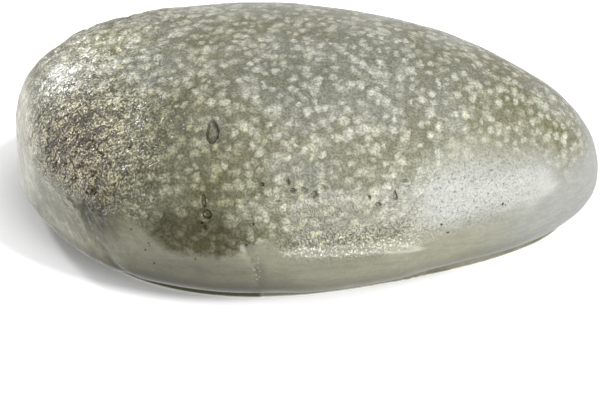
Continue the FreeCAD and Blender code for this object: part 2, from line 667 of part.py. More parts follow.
def hanging_knuckle(sketch):
    """The frame's middle knuckle: round below, with straight sides up to the pocket's top."""
    x, z, r, top = (number(t) for t in (HINGE_X, HINGE_Z, "Sizes.knuckle_radius", POCKET_TOP))
    sketch.addGeometry([
        Part.ArcOfCircle(Part.Circle(Vector(x, z, 0), Vector(0, 0, 1), r), math.pi, 2 * math.pi),
        Part.LineSegment(Vector(x + r, z, 0), Vector(x + r, top, 0)),
        Part.LineSegment(Vector(x + r, top, 0), Vector(x - r, top, 0)),
        Part.LineSegment(Vector(x - r, top, 0), Vector(x - r, z, 0)),
    ], False)
    sketch.addConstraint([
        Sketcher.Constraint("Tangent", 0, 2, 1, 1), Sketcher.Constraint("Coincident", 1, 2, 2, 1),
        Sketcher.Constraint("Coincident", 2, 2, 3, 1), Sketcher.Constraint("Tangent", 3, 2, 0, 1),
        Sketcher.Constraint("Vertical", 1), Sketcher.Constraint("Horizontal", 2),
    ])
    radius = sketch.addConstraint(Sketcher.Constraint("Radius", 0, r))
    sketch.setExpression(f"Constraints[{radius}]", "Sizes.knuckle_radius")
    locate(sketch, 0, 3, "x", HINGE_X)
    locate(sketch, 0, 3, "y", HINGE_Z)
    locate(sketch, 2, 1, "y", f"({POCKET_TOP} + Sizes.fit_gap)")


def lid_seal():
    """The rubber ring in the ledge round the mouth, bevelled where the lid presses on it."""
    body = new_box_body("lid_seal")
    ring = new_sketch(body, "seal_ring", offset=f"({LID_TOP} + Sizes.seat_gap)")
    seal_rings(ring, "Sizes.seat_gap")
    pad(body, ring, f"({LEDGE} + Sizes.seal_height - {LID_TOP} - Sizes.seat_gap)")
    dress_level(body, "PartDesign::Chamfer", "seal_crown", f"({LID_TOP} + Sizes.seat_gap)",
                "Size", named("seal_width / 4"))
    return body


def foam_pad(name, margin, corner, bottom, thickness):
    """A flat foam pad over the middle of the mouth, a margin in from the cavity walls."""
    body = new_box_body(name)
    outline = new_sketch(body, f"{name}_outline", offset=bottom)
    rounded_rectangle(outline, f"({CAVITY_LOW} + {margin})", f"({CAVITY_HIGH} - {margin})",
                      f"({CAVITY_HALF} - {margin})", corner)
    pad(body, outline, thickness)
    return body


def hinge_pin():
    """The steel hinge pin, through every knuckle and into the frame's side walls, with its ends just
    inside the frame's round corners."""
    pin = doc.addObject("Part::Cylinder", "pin_blank")
    half = f"({RECESS_HALF} + Sizes.frame_wall * 0.4)"
    pin.setExpression("Radius", "Sizes.pin_radius")
    pin.setExpression("Height", f"(2 * {half})")
    pin.Placement.Rotation = FreeCAD.Rotation(Vector(1, 0, 0), -90)
    pin.setExpression("Placement.Base.x", f"{HINGE_X} + Sizes.box_offset_x")
    pin.setExpression("Placement.Base.y", f"Sizes.box_offset_y - {half}")
    pin.setExpression("Placement.Base.z", HINGE_Z)
    doc.recompute()
    made = doc.addObject("Part::Chamfer", "hinge_pin")
    made.Base = pin
    bevel = size("pin_chamfer")
    made.Edges = [(i, bevel, bevel) for i, edge in enumerate(pin.Shape.Edges, start=1) if edge.Closed
                  and len(edge.Vertexes) == 1]
    return made


# ---------------------------------------------------------------- the lid
def lid():
    """The lid: a flat plate with hinge knuckles, a skirt inside the mouth, a snap tongue and a pull tab."""
    body = new_box_body("lid")
    plate = new_sketch(body, "plate", offset="Sizes.foot_gap")
    rounded_rectangle(plate, LID_LOW, LID_HIGH, LID_HALF, named("recess_corner - lid_gap"))
    pad(body, plate, "Sizes.lid_thickness")
    dress_level(body, "PartDesign::Chamfer", "lid_edge_bevel", "Sizes.foot_gap",
                "Size", "Sizes.lid_edge_chamfer")
    tab = new_sketch(body, "pull_tab", offset="Sizes.foot_gap")
    rounded_rectangle(tab, f"({LID_HIGH} - Sizes.tab_reach)",
                      f"({LID_HIGH} + Sizes.tab_reach)", named("tab_width / 2"), "Sizes.tab_corner")
    pad(body, tab, "Sizes.tab_thickness")

    leaf = new_sketch(body, "knuckle_leaf", plane="XZ_Plane",
                      offset=named("knuckle_end - knuckle_length"))
    leaf_outline(leaf)
    mirror_in_xz(body, pad(body, leaf, "Sizes.knuckle_length"))
    bore = new_sketch(body, "lid_pin_bore", plane="XZ_Plane")
    circle(bore, HINGE_X, HINGE_Z, named("pin_radius + pin_play"))
    pocket(body, bore, f"(2 * {LID_HALF})", both_ways=True)

    skirt = new_sketch(body, "skirt", offset=LID_TOP)
    outer, inner = named("skirt_gap"), named("skirt_gap + skirt_wall")
    for reach in (outer, inner):
        rounded_rectangle(skirt, f"({CAVITY_LOW} + {reach})", f"({CAVITY_HIGH} - {reach})",
                          f"({CAVITY_HALF} - {reach})", f"(Sizes.cavity_corner - {reach})")
    pad(body, skirt, "Sizes.skirt_height")
    tongue = new_sketch(body, "snap_tongue", offset=f"({LID_TOP} - Sizes.fit_gap)")
    rectangle(tongue, f"({TONGUE_HIGH} - Sizes.tongue_thickness)", TONGUE_HIGH,
              named("-1 * tongue_width / 2"), named("tongue_width / 2"))
    pad(body, tongue, named("tongue_height - lid_lift_gap"))
    bead = new_sketch(body, "snap_bead", plane="XZ_Plane")
    circle(bead, TONGUE_HIGH, f"({LID_TOP} + Sizes.bead_height)", "Sizes.bead_radius")
    pad(body, bead, "Sizes.tongue_width", both_ways=True)

    grips = new_sketch(body, "grip_ridges", offset=named("foot_gap - grip_height"))
    start = f"({LID_HIGH} - Sizes.tab_reach - Sizes.grip_pitch * {GRIP_COUNT})"
    rectangle(grips, start, f"({start} + Sizes.grip_width)", named("-1 * grip_length / 2"),
              named("grip_length / 2"))
    row_along_x(body, pad(body, grips, named("grip_height + fit_gap")), "Sizes.grip_pitch", GRIP_COUNT)
    return body


def leaf_outline(sketch):
    """A lid knuckle's outline: round the pin, flush with the lid below, and joined to the lid's plate."""
    x, z, r = (number(t) for t in (HINGE_X, HINGE_Z, "Sizes.knuckle_radius"))
    root, low, high = (number(t) for t in (f"{LID_LOW} + Sizes.recess_corner", "Sizes.foot_gap", LID_TOP))
    lift = math.asin((high - z) / r)
    sketch.addGeometry([
        Part.ArcOfCircle(Part.Circle(Vector(x, z, 0), Vector(0, 0, 1), r), lift, 1.5 * math.pi),
        Part.LineSegment(Vector(x, low, 0), Vector(root, low, 0)),
        Part.LineSegment(Vector(root, low, 0), Vector(root, high, 0)),
        Part.LineSegment(Vector(root, high, 0), Vector(x + r * math.cos(lift), high, 0)),
    ], False)
    sketch.addConstraint([
        Sketcher.Constraint("Tangent", 0, 2, 1, 1), Sketcher.Constraint("Coincident", 1, 2, 2, 1),
        Sketcher.Constraint("Coincident", 2, 2, 3, 1), Sketcher.Constraint("Coincident", 3, 2, 0, 1),
        Sketcher.Constraint("Horizontal", 1), Sketcher.Constraint("Vertical", 2),
        Sketcher.Constraint("Horizontal", 3),
    ])
    radius = sketch.addConstraint(Sketcher.Constraint("Radius", 0, r))
    sketch.setExpression(f"Constraints[{radius}]", "Sizes.knuckle_radius")
    locate(sketch, 0, 3, "x", HINGE_X)
    locate(sketch, 0, 3, "y", HINGE_Z)
    locate(sketch, 2, 1, "x", f"({LID_LOW} + Sizes.recess_corner)")
    locate(sketch, 2, 2, "y", LID_TOP)


# ---------------------------------------------------------------- make, check and write
def build():
    screw_form = screw()
    doc.recompute()
    made = [
        stone_shell(), boss_inserts(), base_plate(), base_seal(), base_screws(screw_form),
        key_box(), lid_seal(), hinge_pin(),
        foam_pad("box_pad", "Sizes.pad_margin", "Sizes.pad_corner", f"({CEILING} - Sizes.pad_thickness)",
                 "Sizes.pad_thickness"),
        lid(),
        foam_pad("lid_pad", named("skirt_gap + skirt_wall + skirt_gap"), "Sizes.pad_corner", LID_TOP,
                 "Sizes.lid_pad_thickness"),
    ]
    doc.recompute()
    return made


def check(objects):
    """Stops on any object that failed, and on any sub-part that isn't made of valid solids."""
    for made in doc.Objects:
        if "Invalid" in made.State or "Error" in made.State:
            raise RuntimeError(f"{made.Name} failed: {made.State}")
    for made in objects:
        shape = made.Shape
        if shape.isNull() or not shape.isValid() or not shape.Solids or shape.Volume <= 0:
            raise RuntimeError(f"{made.Name} isn't a valid solid")


def write(objects):
    os.makedirs("parts", exist_ok=True)
    for made in objects:
        made.Shape.exportStep(os.path.join("parts", f"{made.Label}.step"))
        box = made.Shape.BoundBox
        print(f"{made.Label}: {len(made.Shape.Solids)} solid, {made.Shape.Volume:.1f} mm3, "
              f"z {box.ZMin:.2f} to {box.ZMax:.2f}")


sub_parts = build()
check(sub_parts)
write(sub_parts)
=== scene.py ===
"""A hide-a-key rock: a hollow cast pebble with a screwed base plate and a sealed key box below."""
import math
from functools import partialmethod

import bpy
import numpy as np
from bpy.props import FloatProperty, FloatVectorProperty, IntProperty, PointerProperty
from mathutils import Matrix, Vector, noise


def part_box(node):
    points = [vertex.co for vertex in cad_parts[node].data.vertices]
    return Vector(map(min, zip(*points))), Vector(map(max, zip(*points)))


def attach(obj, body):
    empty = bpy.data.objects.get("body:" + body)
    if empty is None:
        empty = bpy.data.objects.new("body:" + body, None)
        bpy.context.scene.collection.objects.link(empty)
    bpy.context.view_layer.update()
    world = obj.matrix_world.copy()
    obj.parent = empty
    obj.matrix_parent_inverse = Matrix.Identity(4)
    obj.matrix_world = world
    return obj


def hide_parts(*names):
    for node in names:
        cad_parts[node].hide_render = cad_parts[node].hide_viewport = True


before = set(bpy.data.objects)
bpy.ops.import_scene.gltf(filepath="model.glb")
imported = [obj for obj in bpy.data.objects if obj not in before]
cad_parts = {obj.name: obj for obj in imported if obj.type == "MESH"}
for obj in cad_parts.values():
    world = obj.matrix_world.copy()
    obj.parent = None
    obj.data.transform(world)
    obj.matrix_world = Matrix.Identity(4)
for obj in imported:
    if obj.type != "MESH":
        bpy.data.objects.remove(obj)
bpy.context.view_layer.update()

bl_info = {
    "name": "Hide-a-key rock",
    "version": (1, 0, 0),
    "blender": (4, 5, 0),
    "location": "3D View > Sidebar > Key rock",
    "description": "Makes a cast pebble with a screwed base plate and a sealed key box in its underside",
    "category": "Add Mesh",
}

MM = 0.001
STONE = [[c / MM for c in corner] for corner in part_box("stone_shell")]
PLATE = [[c / MM for c in corner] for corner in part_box("base_plate")]


# -------------------- settings
def number(name, description, default, **more):
    """A number that the user may change."""
    return FloatProperty(name=name, description=description, default=default, **more)


def colour(name, description, default):
    """A colour that the user may change."""
    return FloatVectorProperty(name=name, description=description, default=default, subtype="COLOR",
                               min=0.0, max=1.0)


class PebbleSizes(bpy.types.PropertyGroup):
    """Sizes of the cast pebble, in millimetres."""
    long: number("Length", "From the blunt end to the tapered end", STONE[1][0] - STONE[0][0])
    wide: number("Width", "From front to back", STONE[1][1] - STONE[0][1])
    crown: number("Crown", "Level of the highest point above the ground", STONE[1][2])
    foot: number("Foot", "Level of the pebble's foot, above the base seal", STONE[0][2])
    girth: number("Girth", "Level of the widest outline", 9.0)
    girth_rise: number("Girth rise", "How much higher the girth is at the tapered end", 1.5)
    tuck: number("Tuck", "How far the skin turns in from the girth to the foot", 6.9)
    rim: number("Rim", "Width of the flat rim that stands on the seal", 3.2)
    crest_shift: number("Crest shift", "How far the crown lies towards the tapered end", 0.4)
    cuts: IntProperty(name="Cuts", description="Divisions of the skin's mesh", default=10, min=2, max=12)


class ResinColours(bpy.types.PropertyGroup):
    """Colours of the cast resin and of what is embedded in it."""
    matrix: colour("Matrix", "The clear olive resin between the granules", (0.128, 0.122, 0.057))
    blue: colour("Cool patches", "The matrix where it is bluish grey", (0.180, 0.184, 0.136))
    brown: colour("Warm patches", "The matrix where it is brownish", (0.122, 0.092, 0.048))
    dark: colour("Dark patches", "The matrix where it is deepest", (0.054, 0.046, 0.010))
    granule: colour("Granules", "The pale granules", (0.51, 0.51, 0.415))
    granule_warm: colour("Warm granules", "The yellowish granules", (0.53, 0.515, 0.345))
    plain: colour("Plain band", "The band round the foot, with no granules", (0.268, 0.264, 0.192))


class BoxColours(bpy.types.PropertyGroup):
    """Colours of the box in the underside and of its small parts."""
    plastic: colour("Box plastic", "The moulded key box", (0.020, 0.021, 0.020))
    lid: colour("Lid plastic", "The moulded lid", (0.026, 0.027, 0.026))
    rubber: colour("Rubber", "The seals", (0.030, 0.030, 0.026))
    foam: colour("Foam", "The two pads", (0.045, 0.045, 0.046))
    steel: colour("Steel", "Screws and hinge pin", (0.56, 0.56, 0.57))
    brass: colour("Brass", "The threaded inserts", (0.60, 0.43, 0.18))


class StageSettings(bpy.types.PropertyGroup):
    """The camera, the powers of the soft lamps and the light from all round."""
    lens: number("Lens", "Focal length in millimetres", 121.8)
    distance: number("Distance", "From the camera to its target", 0.45, unit="LENGTH")
    azimuth: number("Azimuth", "Turn of the camera round the pebble", math.radians(2.692), subtype="ANGLE")
    elevation: number("Elevation", "Height of the camera above the horizon", math.radians(31.307),
                      subtype="ANGLE")
    key: number("Key", "Power of the soft lamp at the front right", 7.4)
    top: number("Top", "Power of the soft lamp overhead", 6.5)
    rim: number("Rim", "Power of the soft lamp at the back left", 3.8)
    side: number("Side", "Power of the soft lamp low at the left", 4.0)
    front: number("Front", "Power of the wide soft lamp in front", 2.2)
    sky: number("Sky", "Strength of the light from all round", 0.42)


# -------------------- shader sums
class Wire:
    """An output socket that can be used in sums; every sum adds its Math node."""

    def __init__(self, finish, socket):
        self.finish, self.socket = finish, socket

    def math(self, operation, *others):
        return self.finish.math(operation, self, *others)

    def __rsub__(self, other):
        return self.finish.math("SUBTRACT", other, self)

    __add__ = __radd__ = partialmethod(math, "ADD")
    __mul__ = __rmul__ = partialmethod(math, "MULTIPLY")
    __sub__ = partialmethod(math, "SUBTRACT")
    __truediv__ = partialmethod(math, "DIVIDE")
    smaller = partialmethod(math, "MINIMUM")
    larger = partialmethod(math, "MAXIMUM")
    size = partialmethod(math, "ABSOLUTE")


class Finish:
    """A material or a world that is put together from nodes."""

    def __init__(self, name, kind="materials"):
        self.block = getattr(bpy.data, kind).new(name)
        self.block.use_nodes = True
        self.tree = self.block.node_tree
        self.tree.nodes.clear()

    def node(self, kind, inputs=None, **settings):
        """Adds a node; its settings come first, then the values or links of its sockets."""
        made = self.tree.nodes.new("ShaderNode" + kind)
        for key, value in settings.items():
            setattr(made, key, value)
        for key, value in (inputs or {}).items():
            if isinstance(value, Wire):
                self.tree.links.new(value.socket, made.inputs[key])
            else:
                made.inputs[key].default_value = value
        return made

    def wire(self, kind, inputs=None, key=0, **settings):
        """Adds a node and gives its output with this number or name."""
        return Wire(self, self.node(kind, inputs, **settings).outputs[key])

    def math(self, operation, *values):
        return self.wire("Math", dict(enumerate(values)), operation=operation)

    def vector(self, operation, first, second=None, key=0, **more):
        """A sum on vectors; its output 0 is a vector and its output 1 a number."""
        inputs = {0: first, **more}
        if second is not None:
            inputs[1] = second
        return self.wire("VectorMath", inputs, key, operation=operation)

    def position(self):
        """The place on the piece, in millimetres."""
        return self.vector("SCALE", self.wire("TexCoord", key="Object"), Scale=1 / MM)

    def axes(self, vector):
        return [Wire(self, part) for part in self.node("SeparateXYZ", {0: vector}).outputs]

    def noise(self, vector, grain, detail=2.0, roughness=0.5, key=0):
        """Noise with lumps about as large as grain, in millimetres: a number, or a colour for key 1."""
        inputs = {"Vector": vector, "Scale": 1 / grain, "Detail": detail, "Roughness": roughness}
        return self.wire("TexNoise", inputs, key, noise_dimensions="3D")

    def scatter(self, vector, grain, amount):
        """The place moved about by noise, so that a pattern loses its regular look."""
        moved = self.vector("SUBTRACT", self.noise(vector, grain, key=1), (0.5, 0.5, 0.5))
        return self.vector("ADD", vector, self.vector("SCALE", moved, Scale=amount))

    def cells(self, vector, grain):
        """Distance to the nearest cell's middle, in cells, and a random colour for each cell."""
        made = self.node("TexVoronoi", {"Vector": vector, "Scale": 1 / grain, "Randomness": 1.0},
                         voronoi_dimensions="3D", feature="F1")
        return Wire(self, made.outputs["Distance"]), Wire(self, made.outputs["Color"])

    def stretched(self, vector, direction, squeeze):
        """The place drawn together along a direction, so that a pattern gets longer that way."""
        run = self.vector("DOT_PRODUCT", vector, direction, key=1) * (squeeze - 1.0)
        return self.vector("ADD", vector, self.vector("SCALE", direction, Scale=run))

    def profile(self, value, pairs):
        """A line through pairs of value and result."""
        results = [pair[1] for pair in pairs]
        start, span = pairs[0][0], pairs[-1][0] - pairs[0][0]
        low, rise = min(results), max(results) - min(results)
        made = self.node("ValToRGB", {0: (value - start) / span})
        stops = made.color_ramp.elements
        while len(stops) < len(pairs):
            stops.new(0.5)
        for stop, (at, result) in zip(stops, pairs):
            stop.position = (at - start) / span
            stop.color = (*[(result - low) / rise] * 3, 1.0)
        return Wire(self, made.outputs[0]) * rise + low

    def fade(self, value, low, high, start=0.0, end=1.0):
        """A smooth step from start at low to end at high."""
        inputs = {"Value": value, "From Min": low, "From Max": high, "To Min": start, "To Max": end}
        return self.wire("MapRange", inputs, interpolation_type="SMOOTHSTEP")

    def spot(self, place, centre, reach, softness=1.0):
        """One at the centre, falling to nothing at the reach, in millimetres."""
        away = self.vector("DIVIDE", self.vector("SUBTRACT", place, centre), reach)
        return self.fade(self.vector("LENGTH", away, key=1), 1.0, 1.0 - softness)

    def mix(self, share, first, second):
        """The first colour turning into the second one as the share goes from 0 to 1."""
        first, second = (c if isinstance(c, Wire) else (*c[:3], 1.0) for c in (first, second))
        return self.wire("Mix", {0: share, 6: first, 7: second}, 2, data_type="RGBA")

    def shade(self, tint, share):
        """A colour made lighter or darker by a factor."""
        return self.vector("SCALE", tint, Scale=share)

    def tinted(self, tint, share, factors):
        """A colour whose red, green and blue are multiplied, as far as the share says."""
        return self.mix(share, tint, self.vector("MULTIPLY", tint, factors))

    def surface(self, tint, gloss, relief, **more):
        """The material's shader: colour, roughness, relief in millimetres, and any constants."""
        bump = self.wire("Bump", {"Height": relief, "Distance": MM, "Strength": 1.0})
        inputs = {"Base Color": tint, "Roughness": gloss, "Normal": bump}
        inputs.update({key.replace("_", " "): value for key, value in more.items()})
        self.node("OutputMaterial", {"Surface": self.wire("BsdfPrincipled", inputs)})
        return self.block


# -------------------- the casting's finish
# level of the plain band's upper edge along the pebble, in millimetres
BAND_EDGE = ((-64, 29), (-56, 27), (-52, 21.5), (-43, 21), (-35, 20), (-32, 17.5),
             (-27, 14.4), (-21, 13.3), (-14.5, 13.2), (-11, 15.6), (-5, 17.6), (-3, 15.6),
             (9, 15.4), (21, 14.6), (24.5, 19), (27.5, 26), (33, 28), (41, 26.5),
             (50, 23), (55, 19.8), (64, 21.5))

# families of granules, the deepest and faintest first: size of their cells, reach and softness in
# cells, strength, shift of the pattern and the share of cells that stay empty
GRANULES = ((3.4, 0.62, 0.52, 0.26, 71.0, 0.0), (2.20, 0.70, 0.52, 0.62, 37.0, 0.0),
            (1.65, 0.70, 0.48, 0.76, 0.0, 0.12))

# the middle of the smooth patch on the blunt end, and the ways its folds and streaks run
SMOOTH_PATCH = (-51, -4, 34)
FOLD_RUN = (0.72, 0.25, 0.65)
FLOW_RUN = (0.50, -0.50, -0.70)

# parts of the skin that differ from the rest: middle, reach and softness
SPOTS = {
    "blunt_end": ((-48, -8, 30), (36, 46, 24), 0.75),
    "blunt_tip": ((-64, -8, 18), (11.5, 34, 17), 0.45),
    "calm": (SMOOTH_PATCH, (17, 20, 12), 0.7),
    "cheek": ((36, -27, 21), (28, 17, 10), 0.7),
    "cool_front": ((30, -32, 22), (30, 16, 12), 0.8),
    "cool_top": ((8, -14, 38), (40, 27, 18), 0.9),
    "deep": ((-21, -41.5, 17), (18, 11, 8.5), 0.6),
    # painted shade low on the band under the lobe
    "shade_under_lobe": ((-19, -41.5, 6.5), (26, 16, 9), 0.6),
    # painted glints at the blunt end's highlight
    "glare": (SMOOTH_PATCH, (17, 17, 12), 0.9),
    "rough": ((-44, -24, 26), (27, 25, 17), 0.75),
    "scar": ((-42, -32.5, 17), (7, 6, 4.6), 0.7),
    "scar_end": ((-47.5, -28, 16.5), (4.5, 4.5, 2.4), 0.8),
    # painted glints along the front crease
    "crease_glints": ((-7.8, -43, 10.5), (1.3, 6, 6), 0.7),
    "shelf": ((15, -40, 15.5), (27, 14, 4.5), 0.8),
    "smear": ((-42, -33, 15), (12, 9, 8), 0.9),
    "warm": ((-46, -22, 25), (17, 22, 14), 0.8),
}

# patches painted darker, or lighter with a share below 0: painted shade where less light falls and painted
# light where more falls, partly also the casting's own uneven tone; middle, reach, softness and share
PAINTED_LIGHT_AND_SHADE = (((-22, -33, 29), (24, 17, 15), 0.9, 0.24),
          ((12, -38, 20), (26, 12, 11), 0.8, 0.24),
          ((-42.6, 2.6, 37.6), (17, 16, 9), 0.95, -0.50),
          ((-27.2, -26, 35.4), (12, 13, 9), 0.95, 0.34),
          ((-38.8, -34.5, 20), (11, 10, 9), 0.95, 0.42),
          ((-26.3, -40.3, 20), (9, 9, 6), 0.95, 0.30),
          ((-14.6, -40.5, 22), (8, 8, 10), 0.95, 0.34),
          ((31, -29, 26.5), (21, 13, 6), 0.95, -0.22))

# tints that belong to one place
BROWN_GRANULE = (0.44, 0.375, 0.27)
COOL_GRANULE = (0.50, 0.505, 0.455)
PLAIN_BLUNT = (0.47, 0.46, 0.38)
PLAIN_TAPERED = (0.284, 0.290, 0.274)
PLAIN_CHEEK = (0.290, 0.295, 0.262)
SCAR = (0.036, 0.036, 0.008)
# the colour of the painted glints
PAINTED_GLINT = (0.80, 0.79, 0.71)
# the colour of the painted highlight along the ledge
LEDGE_HIGHLIGHT = (0.60, 0.60, 0.52)
# the darkening in the pits and along the creases, with painted shade in the deeper pits
PIT_AND_CREASE_DARK = (0.026, 0.025, 0.012)
# the colour of the painted shade near the ground
FOOT_SHADE = (0.034, 0.032, 0.014)
# the colour of the painted shade above the cast lip
SEAM_SHADE = (0.030, 0.028, 0.016)
# the colour of the painted highlight on the lip's lower edge
LIP_HIGHLIGHT = (0.52, 0.515, 0.44)
WARM_FACTORS = (1.07, 0.98, 0.71)
SHADE_FACTORS = (1.03, 0.98, 0.70)


def granular(f, place, spots, broad, middle, tints):
    """The tint of the olive matrix with its granules, and how far these stand out."""
    matrix = f.mix(f.fade(broad, 0.42, 0.62), tints.matrix, tints.blue)
    cool = (spots["cool_top"] + spots["cool_front"]).smaller(1.0)
    matrix = f.mix(cool * 0.8, matrix, tints.blue)
    warm = spots["warm"]
    brown = (warm + f.fade(middle, 0.56, 0.72) * 0.5).smaller(1.0)
    matrix = f.mix(brown * 0.8, matrix, tints.brown)
    tint, lift = f.mix(spots["deep"] * 0.95, matrix, tints.dark), 0.0
    crown = f.fade(f.axes(place)[2], 29.0, 38.0, 1.0, 1.30)
    for grain, reach, soft, strong, shift, empty in GRANULES:
        moved = f.scatter(f.vector("ADD", place, (shift, shift, shift)), 2.0, 1.7)
        away, chance = f.cells(f.vector("MULTIPLY", moved, (0.92, 0.74, 1.12)), grain)
        red, green, blue = f.axes(chance)
        away = away + f.fade(blue, 0.2, 1.0, 0.0, 0.14)
        blob = f.fade(away, reach, reach - soft) * f.fade(red, empty, empty + 0.75)
        pale = f.mix(f.fade(green, 0.55, 0.98), tints.granule, tints.granule_warm)
        pale = f.mix(warm * 0.55, pale, BROWN_GRANULE)
        pale = f.mix(cool * 0.7, pale, COOL_GRANULE)
        tint = f.mix(blob * crown * strong * (1.0 - spots["deep"] * 0.74), tint, pale)
        lift = blob * strong + lift
    return tint, lift


def plain_band(f, place, spots, zone, broad, tints):
    """The tint of the band round the foot, with streaks and a scar, and the relief of its streaks."""
    x, _, z = f.axes(place)
    streaks = f.noise(f.vector("MULTIPLY", f.scatter(place, 6.0, 2.0), (0.35, 0.35, 1.3)), 1.1, 2.0, 0.65)
    tint = f.mix(f.fade(broad, 0.40, 0.64) * 0.55, tints.plain, tints.blue)
    tint = f.mix(spots["blunt_tip"], tint, PLAIN_BLUNT)
    tint = f.mix(f.fade(x, 32.0, 54.0) * 0.85, tint, PLAIN_TAPERED)
    tint = f.mix(spots["cheek"], tint, PLAIN_CHEEK)
    # the streaks, and painted shade low on the band under the lobe
    tint = f.shade(tint, f.fade(streaks, 0.30, 0.70, 0.92, 1.07) * (1.0 - spots["shade_under_lobe"] * 0.42))
    blunt = f.fade(x, -26.0, -40.0) * (1.0 - zone)
    flow = f.noise(f.stretched(f.scatter(place, 5.0, 4.0), FLOW_RUN, 0.30), 2.1, 2.0, 0.6)
    tint = f.shade(tint, 1.0 + f.fade(flow, 0.36, 0.64, -0.16, 0.20) * blunt)
    scar = spots["scar"].larger(spots["scar_end"])
    marks = f.noise(f.stretched(f.scatter(place, 3.0, 2.0), FLOW_RUN, 0.40), 1.1, 1.0)
    tint = f.mix(scar * f.fade(marks, 0.55, 0.46) * 0.95, tint, SCAR)
    # painted shade: darker towards the ground at the blunt end
    tint = f.shade(tint, 1.0 - f.fade(z, 9.0, 2.0) * f.fade(x, -10.0, -30.0) * 0.22)
    tint = f.shade(tint, 1.0 - spots["smear"] * 0.42)
    return tint, (streaks * 0.012, flow * blunt * 0.30)


def crusted(f, place, spots, zone, tint):
    """The tint under a crust of small wrinkles and specks, with painted glints and painted shade in its
    grooves, and the relief of the crust.
    """
    x, y, z = f.axes(place)
    cheek = spots["cheek"]
    rough = spots["rough"] * f.fade(z, 16.5, 21.5, 0.10, 1.0)
    ledge = f.fade((z + x * 0.045 - 14.75).size(), 1.7, 0.3) * f.fade(x, -5.0, 3.0) * f.fade(x, 31.0, 20.0)
    ledge = ledge * f.fade(y, -12.0, -24.0)
    crust = spots["blunt_end"] * (1.0 - spots["blunt_tip"] * 0.8) * 0.8
    crust = (crust + rough * 0.5 + spots["shelf"] + cheek * 0.40).smaller(1.2)
    sand = f.noise(place, 0.46, 1.0)
    grit = f.noise(f.stretched(f.scatter(place, 3.0, 2.0), FOLD_RUN, 0.72), 0.90, 1.0)
    valleys = f.noise(f.stretched(f.scatter(place, 5.0, 4.0), FOLD_RUN, 0.55), 2.8)
    valley = f.fade((valleys - 0.47).size(), 0.0, 0.055)
    worms = f.fade((f.noise(f.scatter(place, 2.0, 1.5), 1.2, 1.0) - 0.5).size(), 0.0, 0.05)
    specks = f.fade(f.noise(place, 0.62, 1.0), 0.60, 0.68)
    share = zone * 0.45 + crust * 0.55
    # a speckle that follows the sand relief: partly the crust's own grain, partly painted light on its
    # bumps and painted shade between them
    grains = f.fade(sand, 0.38, 0.62, -0.58, 0.62)
    tint = f.shade(tint, 1.0 + grains * (share * 0.80 + rough * 0.38 + 0.06))
    # painted glints on the sand's peaks: along the ledge, in the rough zone, at the blunt end's highlight
    # and along the front crease
    painted_glints = ledge * 0.9 + rough * 0.80 + spots["glare"] * 0.7 + spots["crease_glints"] * 0.35
    tint = f.mix((f.fade(sand, 0.57, 0.68) * painted_glints).smaller(1.0), tint, PAINTED_GLINT)
    # painted highlight along the ledge where the band stands out
    tint = f.mix(ledge * 0.25, tint, LEDGE_HIGHLIGHT)
    # painted shade in the grooves: along the worm lines and in the rough zone's valleys, where the relief
    # sinks
    tint = f.shade(tint, 1.0 - (1.0 - worms) * share * 0.34)
    tint = f.shade(tint, 1.0 - (1.0 - valley) * rough * 0.75)
    tint = f.tinted(tint, rough * 0.75, WARM_FACTORS)
    tint = f.shade(tint, 1.0 - specks * (cheek * 0.55 + zone * 0.20))
    crust = crust * (1.0 - spots["calm"] * 0.6)
    relief = (sand * (crust * 0.15 + rough * 0.08 + zone * 0.02 + 0.004)
              + grit * (rough * 0.70 + crust * 0.07 + zone * 0.02)
              + valley * rough * 0.45 + worms * (crust * 0.05 + zone * 0.02))
    return tint, relief


def cast_resin(tints):
    """Glossy cast resin full of pale granules, with a plain band round the foot."""
    f = Finish("cast_resin_granules")
    place = f.position()
    x, y, z = f.axes(place)
    spots = {name: f.spot(place, *where) for name, where in SPOTS.items()}
    broad = f.noise(place, 17.0, 3.0, 0.55)
    middle = f.noise(place, 5.0, 3.0, 0.6)
    # how much of the granules shows: none in the plain band, all of them above it
    edge = f.profile(x, BAND_EDGE) + (middle - 0.5) * 5.0
    zone = f.fade((z - edge) / f.fade(x, 14.0, 30.0, 1.3, 5.0), -1.0, 1.2)
    zone = zone * (1.0 - spots["blunt_tip"]) * (1.0 - spots["cheek"] * 0.65)
    upper, lift = granular(f, place, spots, broad, middle, tints)
    plain, ripples = plain_band(f, place, spots, zone, broad, tints)
    tint, relief = crusted(f, place, spots, zone, f.mix(zone, plain, upper))
    # painted shade and painted light in patches, partly also the casting's own uneven tone; the pits and
    # creases darker, with painted shade in the deeper pits; and painted shade low at the front, near the
    # ground
    painted_shading = 0.0
    for *where, share in PAINTED_LIGHT_AND_SHADE:
        painted_shading = f.spot(place, *where) * share + painted_shading
    tint = f.shade(tint, 1.0 - painted_shading)
    tint = f.tinted(tint, (painted_shading * 1.6).smaller(1.0).larger(0.0), SHADE_FACTORS)
    # darker in the pits and along the creases, with painted shade in the deeper pits
    pit = f.wire("Attribute", key="Fac", attribute_name="pit")
    tint = f.mix(f.fade(pit, 0.12, 0.85) * 0.9, tint, PIT_AND_CREASE_DARK)
    # painted shade low at the front, near the ground
    foot = f.fade(z, 8.8, 5.6) * f.fade(x, -1.0, -12.0, 0.34, 0.66) * f.fade(y, -14.0, -30.0)
    tint = f.mix(foot, tint, FOOT_SHADE)
    relief = sum(ripples, relief + lift * zone * 0.05)
    gloss = f.fade(middle, 0.35, 0.7, 0.20, 0.27)
    return f.surface(tint, gloss, relief, IOR=1.5)


